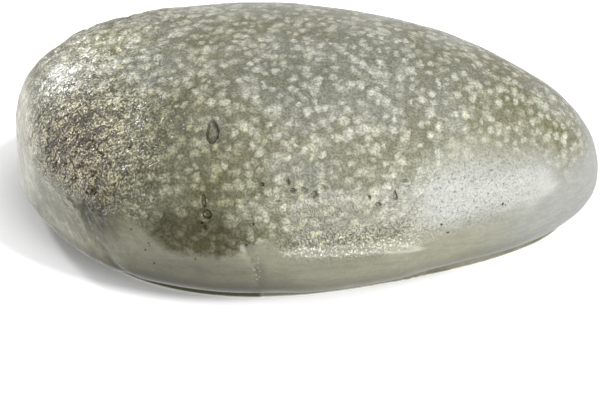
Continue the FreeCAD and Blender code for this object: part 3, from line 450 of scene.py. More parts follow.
def plain_resin(tints):
    """The same resin without granules, as cast for the base plate: dull from its open mould."""
    f = Finish("cast_resin_plain")
    place = f.position()
    x, _, level = f.axes(place)
    cloud = f.noise(place, 9.0, 3.0, 0.6)
    grain = f.noise(place, 0.45, 3.0, 0.7)
    tint = f.mix(f.fade(cloud, 0.35, 0.65) * 0.55, tints.plain, tints.matrix)
    tint = f.shade(tint, f.fade(grain, 0.3, 0.7, 0.82, 1.12))
    away, chance = f.cells(place, 3.4)
    bubble = f.fade(away, 0.11, 0.06) * f.fade(f.axes(chance)[0], 0.70, 0.72)
    # painted shade in the open bubbles, which are small dents
    tint = f.mix(bubble * 0.8, tint, tints.dark)
    # painted shade above the cast lip, most of all left of its step, and a painted highlight on the lip's
    # lower edge
    shaded = f.fade(x, -8.1, -7.2, 0.88, 0.40) * f.fade(level, 0.24, 0.44)
    tint = f.mix(shaded, tint, SEAM_SHADE)
    tint = f.mix(f.fade(level, 0.34, 0.18) * f.fade(level, 0.0, 0.02), tint, LIP_HIGHLIGHT)
    relief = grain * 0.03 + cloud * 0.10 - bubble * 0.12
    return f.surface(tint, f.fade(cloud, 0.3, 0.7, 0.40, 0.55), relief, IOR=1.3)


# -------------------- the finishes of the small parts
def moulded_plastic(name, tint):
    """Dark moulded plastic with a fine spark-eroded grain, rubbed a little shiny in places."""
    f = Finish(name)
    place = f.position()
    grain = f.noise(place, 0.16, 2.0, 0.6)
    cloud = f.noise(place, 7.0, 3.0, 0.6)
    scuffs = f.noise(f.vector("MULTIPLY", f.scatter(place, 6.0, 2.0), (0.12, 1.0, 1.0)), 0.35, 2.0, 0.6)
    rubbed = f.fade(scuffs, 0.64, 0.74) * f.fade(cloud, 0.40, 0.62)
    shade = f.mix(rubbed * 0.5, tint, [c * 2.2 + 0.01 for c in tint])
    shade = f.shade(shade, f.fade(grain, 0.3, 0.7, 0.86, 1.14))
    gloss = f.fade(cloud, 0.3, 0.7, 0.40, 0.52) - rubbed * 0.10
    return f.surface(shade, gloss, grain * 0.02 + cloud * 0.03)


def soft_rubber(name, tint):
    """Matt rubber with a faint bloom."""
    f = Finish(name)
    place = f.position()
    bloom = f.noise(place, 2.2, 3.0, 0.7)
    grain = f.noise(place, 0.2, 2.0, 0.6)
    shade = f.mix(f.fade(bloom, 0.45, 0.75) * 0.5, tint, [c * 2.0 + 0.01 for c in tint])
    return f.surface(shade, f.fade(bloom, 0.3, 0.7, 0.62, 0.78), grain * 0.02)


def machined_metal(name, tint, gloss):
    """Plated metal with fine tool marks and a few dull patches."""
    f = Finish(name)
    place = f.position()
    cloud = f.noise(place, 1.6, 3.0, 0.6)
    marks = f.noise(f.vector("MULTIPLY", place, (1.0, 1.0, 6.0)), 0.35, 2.0, 0.6)
    shade = f.shade(f.mix(f.fade(cloud, 0.35, 0.7), tint, [c * 0.72 for c in tint]),
                    f.fade(marks, 0.3, 0.7, 0.92, 1.06))
    return f.surface(shade, f.fade(cloud, 0.3, 0.7, gloss, gloss + 0.16), marks * 0.012, Metallic=1.0)


def cell_foam(tint):
    """Closed-cell foam: small bubbles with thin walls between them."""
    f = Finish("cell_foam_dark")
    place = f.position()
    away, chance = f.cells(place, 0.42)
    fine = f.cells(f.scatter(place, 0.8, 0.3), 0.20)[0]
    cloud = f.noise(place, 6.0, 2.0, 0.5)
    walls = f.fade(away, 0.15, 0.62)
    # darker in the middle of each cell, where the relief sinks, and lighter on the walls: painted shade in
    # the cells
    shade = f.mix(walls, [c * 0.45 for c in tint], [c * 1.5 for c in tint])
    uneven = f.fade(f.axes(chance)[0], 0.0, 1.0, 0.8, 1.15)
    shade = f.shade(shade, f.fade(cloud, 0.3, 0.7, 0.85, 1.12) * uneven)
    return f.surface(shade, 0.92, walls * 0.16 + fine * 0.05, Sheen_Weight=0.15)


# -------------------- helpers for pieces
def deselect():
    """Leaves nothing selected and no piece in edit mode."""
    if bpy.context.mode != "OBJECT":
        finish_edit()
    bpy.ops.object.select_all(action="DESELECT")


def grasp(piece):
    """Makes a piece the one that the next operator acts on."""
    deselect()
    piece.select_set(True)
    bpy.context.view_layer.objects.active = piece


def added(name):
    """The primitive that was just added, under its own name."""
    piece = bpy.context.active_object
    piece.name = name
    piece.data.name = name
    return piece


def edit(piece, mode="FACE"):
    """Opens a piece for editing."""
    grasp(piece)
    bpy.ops.object.mode_set(mode="EDIT")
    bpy.ops.mesh.select_mode(type=mode)


def finish_edit():
    """Closes the piece that was open for editing."""
    bpy.ops.object.mode_set(mode="OBJECT")


def mend(join=0.0):
    """Joins points closer than this many millimetres, turns all faces outwards and ends the editing."""
    bpy.ops.mesh.select_all(action="SELECT")
    if join:
        bpy.ops.mesh.remove_doubles(threshold=join * MM)
    bpy.ops.mesh.normals_make_consistent(inside=False)
    finish_edit()


def smooth(piece, degrees):
    """Shades a piece smooth, apart from edges sharper than this."""
    grasp(piece)
    bpy.ops.object.shade_smooth_by_angle(angle=math.radians(degrees))
    return piece


def apply(piece, name, kind, **settings):
    """Gives a piece a modifier with these settings and applies it."""
    modifier = piece.modifiers.new(name, kind)
    for key, value in settings.items():
        setattr(modifier, key, value)
    bpy.ops.object.modifier_apply(modifier=name)


def column(items, key, kind, wide=1):
    """One property of all of a mesh's points, faces or corners, as an array."""
    flat = np.empty(len(items) * wide, kind)
    items.foreach_get(key, flat)
    return flat.reshape(-1, wide) if wide > 1 else flat


def points_of(piece):
    """The mesh's points, in millimetres."""
    return column(piece.data.vertices, "co", np.float64, 3) / MM


def move_points(piece, points):
    """Puts the mesh's points at these places, in millimetres."""
    piece.data.vertices.foreach_set("co", (np.asarray(points) * MM).astype(np.float32).ravel())
    piece.data.update()


def mark(piece, name, values):
    """Stores a number for each of the piece's points."""
    layer = piece.data.attributes.new(name, "FLOAT", "POINT")
    layer.data.foreach_set("value", values.astype(np.float32))


def marked(piece, name):
    """The numbers that the piece's points carry under this name."""
    return column(piece.data.attributes[name].data, "value", np.float32)


def lumps(points, grain, seed):
    """Smooth noise from -1 to 1 at every point; its lumps are about as large as grain."""
    return np.array([noise.noise(Vector((x / grain + seed, y / grain, z / grain))) for x, y, z in points])


def ramp(value, low, high):
    """A smooth step from 0 at low to 1 at high."""
    share = np.clip((value - low) / (high - low), 0.0, 1.0)
    return share * share * (3 - 2 * share)


def paint(node, material):
    """Gives a CAD node that keeps its shape a better material."""
    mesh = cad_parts[node].data
    mesh.materials.clear()
    mesh.materials.append(material)


def wear(piece, material, body, slot, *nodes):
    """Gives a finished piece its material and its body, and hides the CAD nodes it stands for; the slot is
    not used.
    """
    piece.data.materials.clear()
    piece.data.materials.append(material)
    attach(piece, body)
    if nodes:
        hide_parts(*nodes)


# -------------------- the pebble's form
# the outline seen from above: faint lobes, and how much it narrows to the tapered end
SWELL = 0.02
THREE_LOBE_ANGLE = math.radians(16.5)
FOUR_LOBE_ANGLE = math.radians(-12.5)
EGG_TAPER = 0.12
# how full the dome is at either end, and how far the skin turns under the girth
BLUNT_FULLNESS = 0.41
TAPER_FULLNESS = 0.98
BELLY_TURN = math.radians(75)
# the worn hollow at the front: where it lies, its half width, its half height and its depth
WORN_ANGLE, WORN_LEVEL = math.radians(-78), 20
WORN_WIDE, WORN_TALL, WORN_DEEP = 15, 5.5, 0.9


def unit_outline(angle):
    """The egg-shaped outline seen from above, before it is scaled."""
    three, four = np.cos(3 * (angle - THREE_LOBE_ANGLE)), np.cos(4 * (angle - FOUR_LOBE_ANGLE))
    swell = 1 + SWELL * three + SWELL * four
    return np.stack([np.cos(angle) * swell, np.sin(angle) * (1 - EGG_TAPER * np.cos(angle)) * swell], -1)


def girth_outline(angle, sizes):
    """The widest outline seen from above."""
    fine = unit_outline(np.linspace(0, 2 * math.pi, 720, endpoint=False))
    low, high = fine.min(0), fine.max(0)
    return (unit_outline(angle) - (low + high) / 2) * np.array([sizes.long, sizes.wide]) / (high - low)


def drawn_in(outline, distance):
    """Outline points moved towards the middle."""
    return outline * (1 - distance / np.hypot(outline[:, 0], outline[:, 1]))[:, None]


def dome(angle, turn, sizes):
    """Points of the skin above the girth; turn goes from 0 at the girth to a right angle at the crown."""
    towards_tip = (1 + np.cos(angle)) / 2
    power = 2 / (BLUNT_FULLNESS * (1 - towards_tip) + TAPER_FULLNESS * towards_tip)
    # how far out the section lies in this direction, by halving the span again and again
    low, high = np.zeros_like(turn), np.full_like(turn, 1.6)
    for _ in range(36):
        reach = (low + high) / 2
        beyond = (reach * np.cos(turn)) ** 2 + (reach * np.sin(turn)) ** power > 1
        high, low = np.where(beyond, reach, high), np.where(beyond, low, reach)
    inward, rise = reach * np.cos(turn), reach * np.sin(turn)
    level = sizes.girth + sizes.girth_rise * np.cos(angle)
    plan = girth_outline(angle, sizes) * inward[:, None]
    plan[:, 0] += sizes.crest_shift * rise
    points = np.column_stack([plan, level + (sizes.crown - level) * rise])
    away = np.hypot(plan[:, 0], plan[:, 1]) + 1e-9
    round_by = (angle - WORN_ANGLE + math.pi) % (2 * math.pi) - math.pi
    worn = np.exp(-(round_by * away / WORN_WIDE) ** 2 - ((points[:, 2] - WORN_LEVEL) / WORN_TALL) ** 2)
    points[:, :2] -= plan / away[:, None] * (WORN_DEEP * worn)[:, None]
    return points


def belly(angle, share, sizes):
    """Points of the skin below the girth; share goes from 0 at the girth to 1 at the foot."""
    turn = share * BELLY_TURN
    inset = sizes.tuck * (1 - np.cos(turn)) / (1 - math.cos(BELLY_TURN))
    level = sizes.girth + sizes.girth_rise * np.cos(angle)
    drop = (level - sizes.foot) * np.sin(turn) / math.sin(BELLY_TURN)
    return np.column_stack([drawn_in(girth_outline(angle, sizes), inset), level - drop])


# how much of the cube's side lies below the girth
BELLY_CUBE = 0.30
# how far the hollow's wall has turned in, beyond its mouth, at a few levels
HOLLOW_RINGS = ((PLATE[1][2] + 1.5, 0), (16.0, 1.5), (28.0, 11.0))

# bubbles and pits broken open in the skin: place, half width, half height and depth
PITS = (((-17.2, -29.9, 35.1), 1.50, 3.0, 1.05), ((-18.4, -40.2, 25.2), 0.50, 1.5, 0.60),
        ((-17.7, -41.1, 22.7), 1.05, 1.1, 0.70), ((-18.8, -41.6, 21.0), 0.34, 0.34, 0.40),
        ((-18.1, -41.8, 19.9), 0.36, 0.8, 0.35), ((-29.9, -39.8, 14.6), 0.22, 0.22, 0.25),
        ((-31.2, -39.0, 18.6), 0.22, 0.22, 0.25), ((29.2, -31.9, 15.9), 0.24, 0.24, 0.28),
        ((-41.4, -32.5, 21.6), 0.38, 0.38, 0.50), ((-43.2, -31.0, 21.0), 0.25, 0.5, 0.25),
        ((-6.9, -38.4, 28.3), 0.42, 0.42, 0.50), ((-9.9, -42.8, 16.5), 0.24, 0.24, 0.30),
        ((-8.5, -41.8, 21.0), 0.24, 0.24, 0.30), ((-29.7, -39.9, 14.1), 0.20, 0.20, 0.25),
        ((-30.7, -39.5, 12.8), 0.20, 0.20, 0.25), ((-29.0, -40.2, 10.0), 0.22, 0.22, 0.28),
        ((-33.5, -38.1, 16.8), 0.22, 0.22, 0.28), ((-20.3, -42.4, 12.7), 0.20, 0.20, 0.25),
        ((42.0, -25.0, 16.9), 0.28, 0.28, 0.32), ((30.6, -31.7, 13.9), 0.26, 0.26, 0.30),
        ((-1.8, -37.5, 28.5), 0.45, 1.00, 0.40), ((-0.7, -38.4, 27.0), 0.70, 0.60, 0.38),
        ((1.2, -38.0, 26.9), 0.95, 0.70, 0.44), ((3.5, -38.0, 26.1), 0.90, 0.75, 0.44),
        ((5.1, -36.9, 27.2), 0.80, 0.95, 0.42), ((19.6, -33.5, 23.6), 0.40, 1.30, 0.36),
        ((21.4, -31.6, 25.9), 0.75, 0.55, 0.34), ((16.2, -35.2, 22.4), 0.80, 0.50, 0.34),
        ((14.4, -35.9, 24.2), 0.35, 0.90, 0.32), ((7.6, -38.6, 23.6), 0.70, 0.60, 0.34))

# soft valleys that the mould left: their points, half width and depth
CREASES = (
    (((-7.6, -42.4, 4.0), (-7.4, -43.2, 8.5), (-8.2, -43.2, 12.0), (-10.3, -42.8, 16.8)), 1.1, 0.46),
    (((-44.6, -31.0, 16.5), (-41.6, -34.0, 11.0), (-38.6, -35.6, 6.6), (-35.4, -35.6, 3.6)), 1.5, 0.75),
    (((46.0, -22.6, 18.4), (47.3, -21.4, 16.6)), 0.35, 0.16))


def along(points, line):
    """Distance from every point to a line of several runs."""
    nearest = np.full(len(points), 1e9)
    for start, end in zip(line, line[1:]):
        start, run = np.array(start), np.array(end) - np.array(start)
        share = np.clip(((points - start) @ run) / (run @ run), 0, 1)
        nearest = np.minimum(nearest, np.linalg.norm(points - start - share[:, None] * run, axis=1))
    return nearest


def pit_shape(points, pit):
    """How far every point is from a pit's middle, from 0 there to 1 at its edge."""
    centre, wide, tall, _ = pit
    x, y, z = (points - np.array(centre)).T
    across = x + 0.12 * z * (wide < tall)
    return np.hypot(across / wide * (1 + 0.3 * np.clip(z / tall, -1, 1)), np.hypot(y, z) / tall)


def skin_relief(points):
    """How far the cast skin stands out from its smooth form, in millimetres."""
    x, y, z = points.T
    front = ramp(-y, 8, 22)
    relief = lumps(points, 21, 3.1) * 0.42 + lumps(points, 8.5, 9.4) * 0.16 + lumps(points, 3.2, 1.7) * 0.05
    grit = ramp(-x, 18, 42) * ramp(z, 15, 24)
    relief += lumps(points, 1.5, 5.2) * (0.012 + 0.05 * grit)
    # folds that run down to the left at the blunt end, with sharp valleys between them
    run = np.array(FOLD_RUN)
    folded = points - 0.5 * (points @ run)[:, None] * run
    valleys = np.exp(-(lumps(folded, 3.6, 7.9) / 0.15) ** 2)
    calm = 1 - 0.75 * np.exp(-(np.linalg.norm(points - np.array(SMOOTH_PATCH), axis=1) / 12.0) ** 2)
    relief += grit * calm * (lumps(folded, 3.0, 2.8) * 0.30 - valleys * 0.42)
    # the shoulder where the plain band stands out below the granules
    shoulder = 14.6 - 0.02 * (x - 6) ** 2 * (x > 6) * 0.35 + lumps(points, 9, 6.6) * 0.7
    stretch = ramp(x, -6, 2) * (1 - ramp(x, 19, 29))
    below = 1 - ramp(z, shoulder - 0.9, shoulder + 0.7)
    relief += front * stretch * below * (0.45 + 0.45 * np.exp(-((z - shoulder + 2.2) / 2.6) ** 2))
    # the lobe of granules that hangs over the band
    lobe = ramp(x, -29, -24) * (1 - ramp(x, -12, -9))
    relief += front * lobe * 0.22 * ramp(z, 12.2 + lumps(points, 6, 2.2) * 0.8, 14.4)
    for line, wide, deep in CREASES:
        relief -= deep * np.exp(-(along(points, line) / wide) ** 2)
    return relief


def crease_darkening(points):
    """How much darker the colour is along the valleys that the mould left."""
    darkening = np.zeros(len(points))
    for line, wide, deep in CREASES:
        dark_share = np.exp(-(along(points, line) / (wide * 0.45)) ** 2) * min(0.42, deep * 0.9)
        darkening = np.maximum(darkening, dark_share)
    return darkening


def pebble_skin(sizes):
    """The pebble: a cube's upper faces rounded into the cast form, hollowed from below."""
    deselect()
    bpy.ops.mesh.primitive_cube_add(size=2)
    piece = added("pebble_skin")
    edit(piece)
    bpy.ops.mesh.select_all(action="DESELECT")
    finish_edit()
    for face in piece.data.polygons:
        face.select = face.normal.z < -0.9
    edit(piece)
    bpy.ops.transform.translate(value=(0, 0, 1 - BELLY_CUBE))
    bpy.ops.mesh.delete(type="ONLY_FACE")
    bpy.ops.mesh.select_all(action="SELECT")
    for _ in range(2):
        bpy.ops.mesh.subdivide(number_cuts=sizes.cuts)
        bpy.ops.mesh.select_all(action="SELECT")
    finish_edit()
    cube = points_of(piece) * MM
    even = np.tan(np.clip(cube, -1, 1) * math.pi / 4)
    angle = np.arctan2(even[:, 1], even[:, 0])
    rise = np.arctan2(even[:, 2], np.hypot(even[:, 0], even[:, 1]))
    below = np.clip(-cube[:, 2] / BELLY_CUBE, 0, 1)
    points = np.where((cube[:, 2] >= 0)[:, None], dome(angle, np.maximum(rise, 0), sizes),
                      belly(angle, below, sizes))
    move_points(piece, points)
    hollow(piece, sizes)
    mark(piece, "outside", np.arange(len(piece.data.vertices)) < len(points))
    refine(piece)
    shape_skin(piece, sizes)
    return smooth(piece, 40)


def move_ring(piece, sizes, level, shaped):
    """Puts the chosen ring of points at a level, where shaped puts the girth's outline."""
    finish_edit()
    chosen = column(piece.data.vertices, "select", bool)
    points = points_of(piece)
    turn = np.arctan2(points[chosen, 1], points[chosen, 0])
    outline = shaped(girth_outline(plan_angle(turn, sizes), sizes))
    points[chosen] = np.column_stack([outline, np.full(len(outline), level)])
    move_points(piece, points)
    edit(piece, "EDGE")


def hollow(piece, sizes):
    """Closes the pebble below: a flat rim, then the hollow's wall and its ceiling."""
    edit(piece, "EDGE")
    bpy.ops.mesh.select_all(action="DESELECT")
    bpy.ops.mesh.select_non_manifold()
    mouth = sizes.tuck + sizes.rim
    for level, inset in ((sizes.foot, 0), *HOLLOW_RINGS):
        bpy.ops.mesh.extrude_region_move()
        move_ring(piece, sizes, level, lambda outline: drawn_in(outline, mouth + inset))
    bpy.ops.mesh.fill_grid()
    mend()


def plan_angle(seen, sizes):
    """The outline's own angle at which its point lies in a direction that is seen from above."""
    table = np.linspace(-math.pi - 0.3, math.pi + 0.3, 3001)
    outline = girth_outline(table, sizes)
    direction = np.unwrap(np.arctan2(outline[:, 1], outline[:, 0]))
    direction -= 2 * math.pi * round((direction[1500] - table[1500]) / (2 * math.pi))
    return np.interp(seen, direction, table)


def refine(piece):
    """Divides the mesh further where it has a pit."""
    for reach in (1.0, 0.45):
        points = points_of(piece)
        chosen = np.zeros(len(points), bool)
        for pit in PITS:
            near = np.flatnonzero(np.linalg.norm(points - np.array(pit[0]), axis=1) < pit[2] + 3)
            edge = reach / min(pit[1], pit[2])
            chosen[near] |= pit_shape(points[near], pit) < 1 + edge
        select_faces(piece, chosen)
        edit(piece)
        bpy.ops.mesh.subdivide(number_cuts=1)
        finish_edit()


def select_faces(piece, chosen):
    """Selects the faces that have a chosen point."""
    mesh = piece.data
    corners = column(mesh.loops, "vertex_index", np.int32)
    starts = column(mesh.polygons, "loop_start", np.int32)
    mesh.vertices.foreach_set("select", np.zeros(len(mesh.vertices), bool))
    mesh.edges.foreach_set("select", np.zeros(len(mesh.edges), bool))
    mesh.polygons.foreach_set("select", np.logical_or.reduceat(chosen[corners], starts))


def shape_skin(piece, sizes):
    """Presses the skin's relief and its pits into the outside of the pebble."""
    points = points_of(piece)
    normals = column(piece.data.vertices, "normal", np.float32, 3).astype(np.float64)
    shown = marked(piece, "outside") > 0.99
    relief = np.zeros(len(points))
    relief[shown] = skin_relief(points[shown]) * ramp(points[shown, 2], sizes.foot, sizes.foot + 2.6)
    darkening = np.zeros(len(points))
    darkening[shown] = crease_darkening(points[shown])
    for pit in PITS:
        wide, deep = pit[1], pit[3]
        reach = pit_shape(points, pit)
        near = reach < 3
        shallow = wide > 0.28 and deep < 0.45
        reach[near] += lumps(points[near], 0.9, 4.8) * (0.45 if shallow else 0.16)
        bowl = 1 - ramp(reach, 0.5, 1.0)
        lip = np.exp(-((reach - 1.25) / 0.28) ** 2)
        relief += np.where(shown, lip * 0.10 * min(1.0, deep) - bowl * deep, 0)
        # shallow pits darker throughout; the deeper ones get painted shade: a dark ring on their walls, and
        # a dark fill in the tiny ones
        if shallow:
            dark_share = (1 - ramp(reach, 0.1, 1.25)) * 0.60
        else:
            ring = np.exp(-((reach - 0.80) / 0.26) ** 2) * 0.72
            dark_share = np.maximum(ring, (reach < 0.8) * (0.85 if wide < 0.4 else 0.22))
        darkening = np.maximum(darkening, np.where(shown, dark_share, 0))
    move_points(piece, points + normals * relief[:, None])
    mark(piece, "pit", darkening)


# -------------------- the parts in the underside
LIP_STEPS = 720
# the section of the cast lip: how far it stands out from the pebble's foot, and its level
LIP_PROFILE = ((-1.2, 0.06), (-0.1, 0.03), (0.16, 0.04), (0.26, 0.12), (0.25, 0.24),
               (0.12, 0.36), (0.06, 0.75), (0.00, 1.10), (-0.22, 1.30), (-1.2, 1.37))


def base_lip(sizes):
    """The rough cast edge of the base plate, all round, with its step and its flash."""
    deselect()
    bpy.ops.mesh.primitive_circle_add(vertices=LIP_STEPS, radius=0.05, fill_type="NOTHING")
    piece = added("base_lip")
    edit(piece, "EDGE")
    bpy.ops.mesh.select_all(action="SELECT")
    for step, (reach, level) in enumerate(LIP_PROFILE):
        def shaped(outline):
            foot = drawn_in(outline, sizes.tuck)
            return drawn_in(foot, -reach - (lip_roughness(foot, level) if reach > -1 else 0))
        if step:
            bpy.ops.mesh.extrude_region_move()
        move_ring(piece, sizes, level, shaped)
    bpy.ops.mesh.select_all(action="DESELECT")
    bpy.ops.mesh.select_non_manifold()
    bpy.ops.mesh.bridge_edge_loops()
    mend()
    return smooth(piece, 50)


def lip_roughness(outline, level):
    """How far the cast edge stands out at this level, in millimetres."""
    x, y = outline.T
    flat = np.column_stack([outline, np.zeros(len(outline))])
    front = ramp(-y, 2, 14)
    rough = lumps(flat, 7.0, 4.4) * 0.13 + lumps(flat, 1.8, 8.1) * 0.04
    rough += 0.20 * ramp(x, -42, -38) * (x < -7.4) * front
    flash = ramp(x, 14, 22) * (1 - ramp(x, 40, 47)) * front
    low = math.exp(-((level - 0.2) / 0.35) ** 2)
    return rough + flash * low * (0.10 + 0.34 * np.abs(lumps(flat, 2.6, 7.7)))


def softened(node, name, edge):
    """A copy of a CAD node with its edges rounded by this many millimetres, as out of a mould."""
    grasp(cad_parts[node])
    bpy.ops.object.duplicate()
    piece = added(name)
    piece.parent = None
    for key in [k for k in piece.keys() if k.startswith("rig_")]:
        del piece[key]
    edit(piece)
    bpy.ops.mesh.select_all(action="SELECT")
    bpy.ops.mesh.remove_doubles(threshold=0.002 * MM)
    finish_edit()
    apply(piece, "edges", "BEVEL", width=edge * MM, segments=2, limit_method="ANGLE",
          angle_limit=math.radians(38), use_clamp_overlap=False)
    smooth(piece, 40)
    apply(piece, "flat_faces", "WEIGHTED_NORMAL", keep_sharp=True, weight=100)
    return piece


# the pads: play round them, radius of their corners, of their edges, and how much they are crowned
FOAM_PLAY, FOAM_CORNER, FOAM_EDGE, FOAM_CROWN = 0.15, 3.0, 0.45, 0.18


def foam_slab(node, name):
    """A die-cut foam pad in the place of its CAD solid: a little crowned, with soft edges."""
    low, high = (np.array(c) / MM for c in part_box(node))
    half = (high - low) / 2 - np.array([FOAM_PLAY, FOAM_PLAY, 0.0])
    middle = (high + low) / 2
    deselect()
    bpy.ops.mesh.primitive_grid_add(x_subdivisions=92, y_subdivisions=40, size=2)
    piece = added(name)
    apply(piece, "thickness", "SOLIDIFY", thickness=1.0, offset=0.0)
    points = points_of(piece) * MM
    upper = np.sign(points[:, 2])
    flat = points[:, :2] * half[:2]
    inner = np.clip(flat, FOAM_CORNER - half[:2], half[:2] - FOAM_CORNER)
    away = flat - inner
    reach = np.hypot(*away.T) + 1e-9
    share = np.maximum(np.abs(away[:, 0]), np.abs(away[:, 1])) / reach
    flat = inner + away * share[:, None]
    depth = FOAM_CORNER - np.hypot(*(flat - inner).T)
    rounding = np.sqrt(1 - (1 - np.clip(depth / FOAM_EDGE, 0, 1)) ** 2)
    level = (half[2] - FOAM_CROWN) + FOAM_CROWN * ramp(depth, 0, FOAM_CORNER) - FOAM_EDGE * (1 - rounding)
    dents = lumps(np.column_stack([flat, upper * 3]), 9.0, 2.6)
    level = level + dents * FOAM_CROWN * 0.35 - np.abs(dents) * FOAM_CROWN * 0.35
    move_points(piece, np.column_stack([flat + middle[:2], middle[2] + upper * level]))
    edit(piece)
    mend(0.005)
    return smooth(piece, 50)


# -------------------- operators
class KEYROCK_OT_pebble(bpy.types.Operator):
    """Makes the pebble's cast skin"""
    bl_idname = "keyrock.pebble"
    bl_label = "Cast pebble"

    def execute(self, context):
        piece = pebble_skin(context.scene.pebble_sizes)
        wear(piece, cast_resin(context.scene.resin_colours), "stone", "cast_resin", "stone_shell")
        return {"FINISHED"}


class KEYROCK_OT_base(bpy.types.Operator):
    """Makes the base plate with its rough cast edge, and finishes its seal"""
    bl_idname = "keyrock.base"
    bl_label = "Base plate"

    def execute(self, context):
        resin = plain_resin(context.scene.resin_colours)
        plate = softened("base_plate", "base_plate_cast", 0.22)
        wear(plate, resin, "stone", "cast_resin_base", "base_plate")
        wear(base_lip(context.scene.pebble_sizes), resin, "stone", "cast_resin_base")
        paint("base_seal", soft_rubber("seal_rubber_base", context.scene.box_colours.rubber))
        return {"FINISHED"}


class KEYROCK_OT_fixings(bpy.types.Operator):
    """Makes the base screws and finishes their inserts and the hinge pin"""
    bl_idname = "keyrock.fixings"
    bl_label = "Screws, inserts and pin"

    def execute(self, context):
        colours = context.scene.box_colours
        steel = machined_metal("plated_steel", colours.steel, 0.24)
        screws = softened("base_screws", "base_screws_plated", 0.07)
        wear(screws, steel, "stone", "screw_steel", "base_screws")
        paint("boss_inserts", machined_metal("turned_brass", colours.brass, 0.28))
        paint("hinge_pin", machined_metal("polished_steel", colours.steel, 0.14))
        return {"FINISHED"}


class KEYROCK_OT_box(bpy.types.Operator):
    """Makes the moulded key box and finishes the seal round its mouth"""
    bl_idname = "keyrock.box"
    bl_label = "Key box"

    def execute(self, context):
        colours = context.scene.box_colours
        wear(softened("key_box", "key_box_moulded", 0.12), moulded_plastic("moulded_box", colours.plastic),
             "stone", "box_plastic", "key_box")
        paint("lid_seal", soft_rubber("seal_rubber_lid", colours.rubber))
        return {"FINISHED"}


class KEYROCK_OT_lid(bpy.types.Operator):
    """Makes the moulded lid"""
    bl_idname = "keyrock.lid"
    bl_label = "Lid"

    def execute(self, context):
        plastic = moulded_plastic("moulded_lid", context.scene.box_colours.lid)
        wear(softened("lid", "lid_moulded", 0.12), plastic, "lid", "lid_plastic", "lid")
        return {"FINISHED"}


class KEYROCK_OT_pads(bpy.types.Operator):
    """Makes the two foam pads that keep a key from rattling"""
    bl_idname = "keyrock.pads"
    bl_label = "Foam pads"

    def execute(self, context):
        foam = cell_foam(context.scene.box_colours.foam)
        for node, name, body in (("box_pad", "box_foam", "stone"), ("lid_pad", "lid_foam", "lid")):
            piece = foam_slab(node, name)
            wear(piece, foam, body, "pad_foam", node)
        return {"FINISHED"}


# -------------------- the stage
# what the camera looks at, in millimetres
CAMERA_TARGET = (-1.126, 0, 1.437)

# the soft lamps, in metres: the setting with their power, place, target, width and height
LAMPS = (("key", (0.64, -0.53, 0.08), (0.01, 0, 0.01), 0.84, 0.46),
         ("top", (0.42, -0.16, 0.82), (0, 0, 0.01), 1.30, 1.10),
         ("rim", (-0.56, 0.53, 0.45), (-0.02, 0, 0.02), 0.13, 0.11),
         ("side", (-0.80, 0.10, -0.06), (-0.03, 0, 0.02), 0.80, 0.60),
         ("front", (0.34, -1.02, 0.30), (0, 0, 0.01), 0.60, 0.20))

# a painted shadow on the floor, where the floor's own glow is weaker: its middle and its half length and
# width, in millimetres
PAINTED_SHADOW_MIDDLE, PAINTED_SHADOW_HALF = (-9.0, 7.0, 0.0), (64.0, 43.0, 1.0)
# how the floor's own glow grows away from there: from and to, in half widths, and by how much
GLOW_STEPS = ((0.88, 1.03, 0.04, 0.12), (1.03, 1.13, 0.0, 0.50), (1.2, 3.5, 0.0, 0.14))


def aimed(thing, direction):
    """Turns a camera or a lamp so that it looks in a direction."""
    thing.rotation_euler = direction.to_track_quat("-Z", "Y").to_euler()


def softbox(name, place, target, wide, tall, power):
    """A rectangular soft lamp that looks at the target."""
    deselect()
    bpy.ops.object.light_add(type="AREA", location=place)
    lamp = bpy.context.active_object
    lamp.name = name
    lamp.data.shape = "RECTANGLE"
    lamp.data.size, lamp.data.size_y = wide, tall
    lamp.data.energy = power
    aimed(lamp, Vector(target) - Vector(place))


def ground():
    """A pale floor that the camera sees from above, with the pebble's shadow on it and a painted shadow
    round the pebble.
    """
    deselect()
    bpy.ops.mesh.primitive_plane_add(size=6.0, location=(0, 0, 0))
    floor = added("ground")
    f = Finish("ground_white")
    place = f.vector("SUBTRACT", f.position(), PAINTED_SHADOW_MIDDLE)
    away = f.vector("LENGTH", f.vector("DIVIDE", place, PAINTED_SHADOW_HALF), key=1)
    # the painted shadow reaches less far on the right
    away = away + f.fade(f.axes(place)[0], -21.0, 24.0, 0.0, 0.12)
    level = sum(f.fade(away, *step) for step in GLOW_STEPS)
    lit = f.wire("AddShader", {0: f.wire("BsdfDiffuse", {"Color": (0.80, 0.80, 0.81, 1)}),
                               1: f.wire("Emission", {"Color": (1, 1, 1, 1), "Strength": level})})
    # seen from below it isn't there
    seen = f.wire("MixShader", {0: f.wire("NewGeometry", key="Backfacing"), 1: lit,
                                2: f.wire("BsdfTransparent")})
    f.node("OutputMaterial", {"Surface": seen})
    floor.data.materials.append(f.block)
    floor.visible_diffuse = False
    floor.visible_glossy = False
    floor.visible_shadow = False


def sky(strength):
    """Even light from all round; the camera, reflections and clear things see it white."""
    f = Finish("pale_room", "worlds")
    rays = [f.wire("LightPath", key=f"Is {kind} Ray") for kind in ("Camera", "Glossy", "Transmission")]
    level = f.wire("MapRange", {"Value": rays[0].larger(rays[1]).larger(rays[2]), "To Min": strength})
    f.node("OutputWorld", {"Surface": f.wire("Background", {"Strength": level})})
    bpy.context.scene.world = f.block


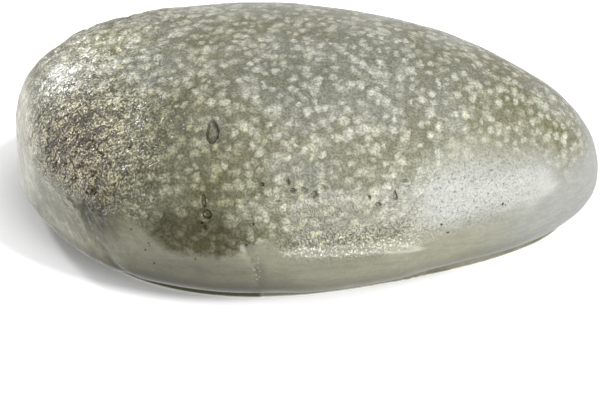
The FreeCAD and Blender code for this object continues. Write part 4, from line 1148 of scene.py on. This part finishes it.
class KEYROCK_OT_stage(bpy.types.Operator):
    """Sets up the camera, the lamps and the ground"""
    bl_idname = "keyrock.stage"
    bl_label = "Stage"

    def execute(self, context):
        stage = context.scene.stage_settings
        target = Vector(CAMERA_TARGET) * MM
        back = Vector((math.sin(stage.azimuth) * math.cos(stage.elevation),
                       -math.cos(stage.azimuth) * math.cos(stage.elevation), math.sin(stage.elevation)))
        deselect()
        bpy.ops.object.camera_add(location=target + back * stage.distance)
        camera = context.active_object
        aimed(camera, -back)
        camera.data.lens = stage.lens
        camera.data.sensor_width = 36.0
        camera.data.clip_start = 0.01
        context.scene.camera = camera
        for name, *where in LAMPS:
            softbox(f"lamp_{name}", *where, getattr(stage, name))
        ground()
        sky(stage.sky)
        context.scene.view_settings.view_transform = "Standard"
        return {"FINISHED"}


class KEYROCK_PT_panel(bpy.types.Panel):
    """Buttons and settings of the key rock"""
    bl_label = "Hide-a-key rock"
    bl_idname = "KEYROCK_PT_panel"
    bl_space_type = "VIEW_3D"
    bl_region_type = "UI"
    bl_category = "Key rock"

    def draw(self, context):
        for operator in OPERATORS:
            self.layout.operator(operator.bl_idname)
        for group in GROUPS.values():
            settings = getattr(context.scene, group)
            for name in settings.__annotations__:
                self.layout.prop(settings, name)


GROUPS = {PebbleSizes: "pebble_sizes", ResinColours: "resin_colours", BoxColours: "box_colours",
          StageSettings: "stage_settings"}
OPERATORS = (KEYROCK_OT_pebble, KEYROCK_OT_base, KEYROCK_OT_fixings, KEYROCK_OT_box, KEYROCK_OT_lid,
             KEYROCK_OT_pads, KEYROCK_OT_stage)
CLASSES = (*GROUPS, *OPERATORS, KEYROCK_PT_panel)


def register():
    for made in CLASSES:
        bpy.utils.register_class(made)
    for group, name in GROUPS.items():
        setattr(bpy.types.Scene, name, PointerProperty(type=group))


def unregister():
    for name in GROUPS.values():
        delattr(bpy.types.Scene, name)
    for made in reversed(CLASSES):
        bpy.utils.unregister_class(made)


def main():
    register()
    for made in OPERATORS:
        group, name = made.bl_idname.split(".")
        getattr(getattr(bpy.ops, group), name)()
    deselect()


if __name__ == "__main__":
    main()
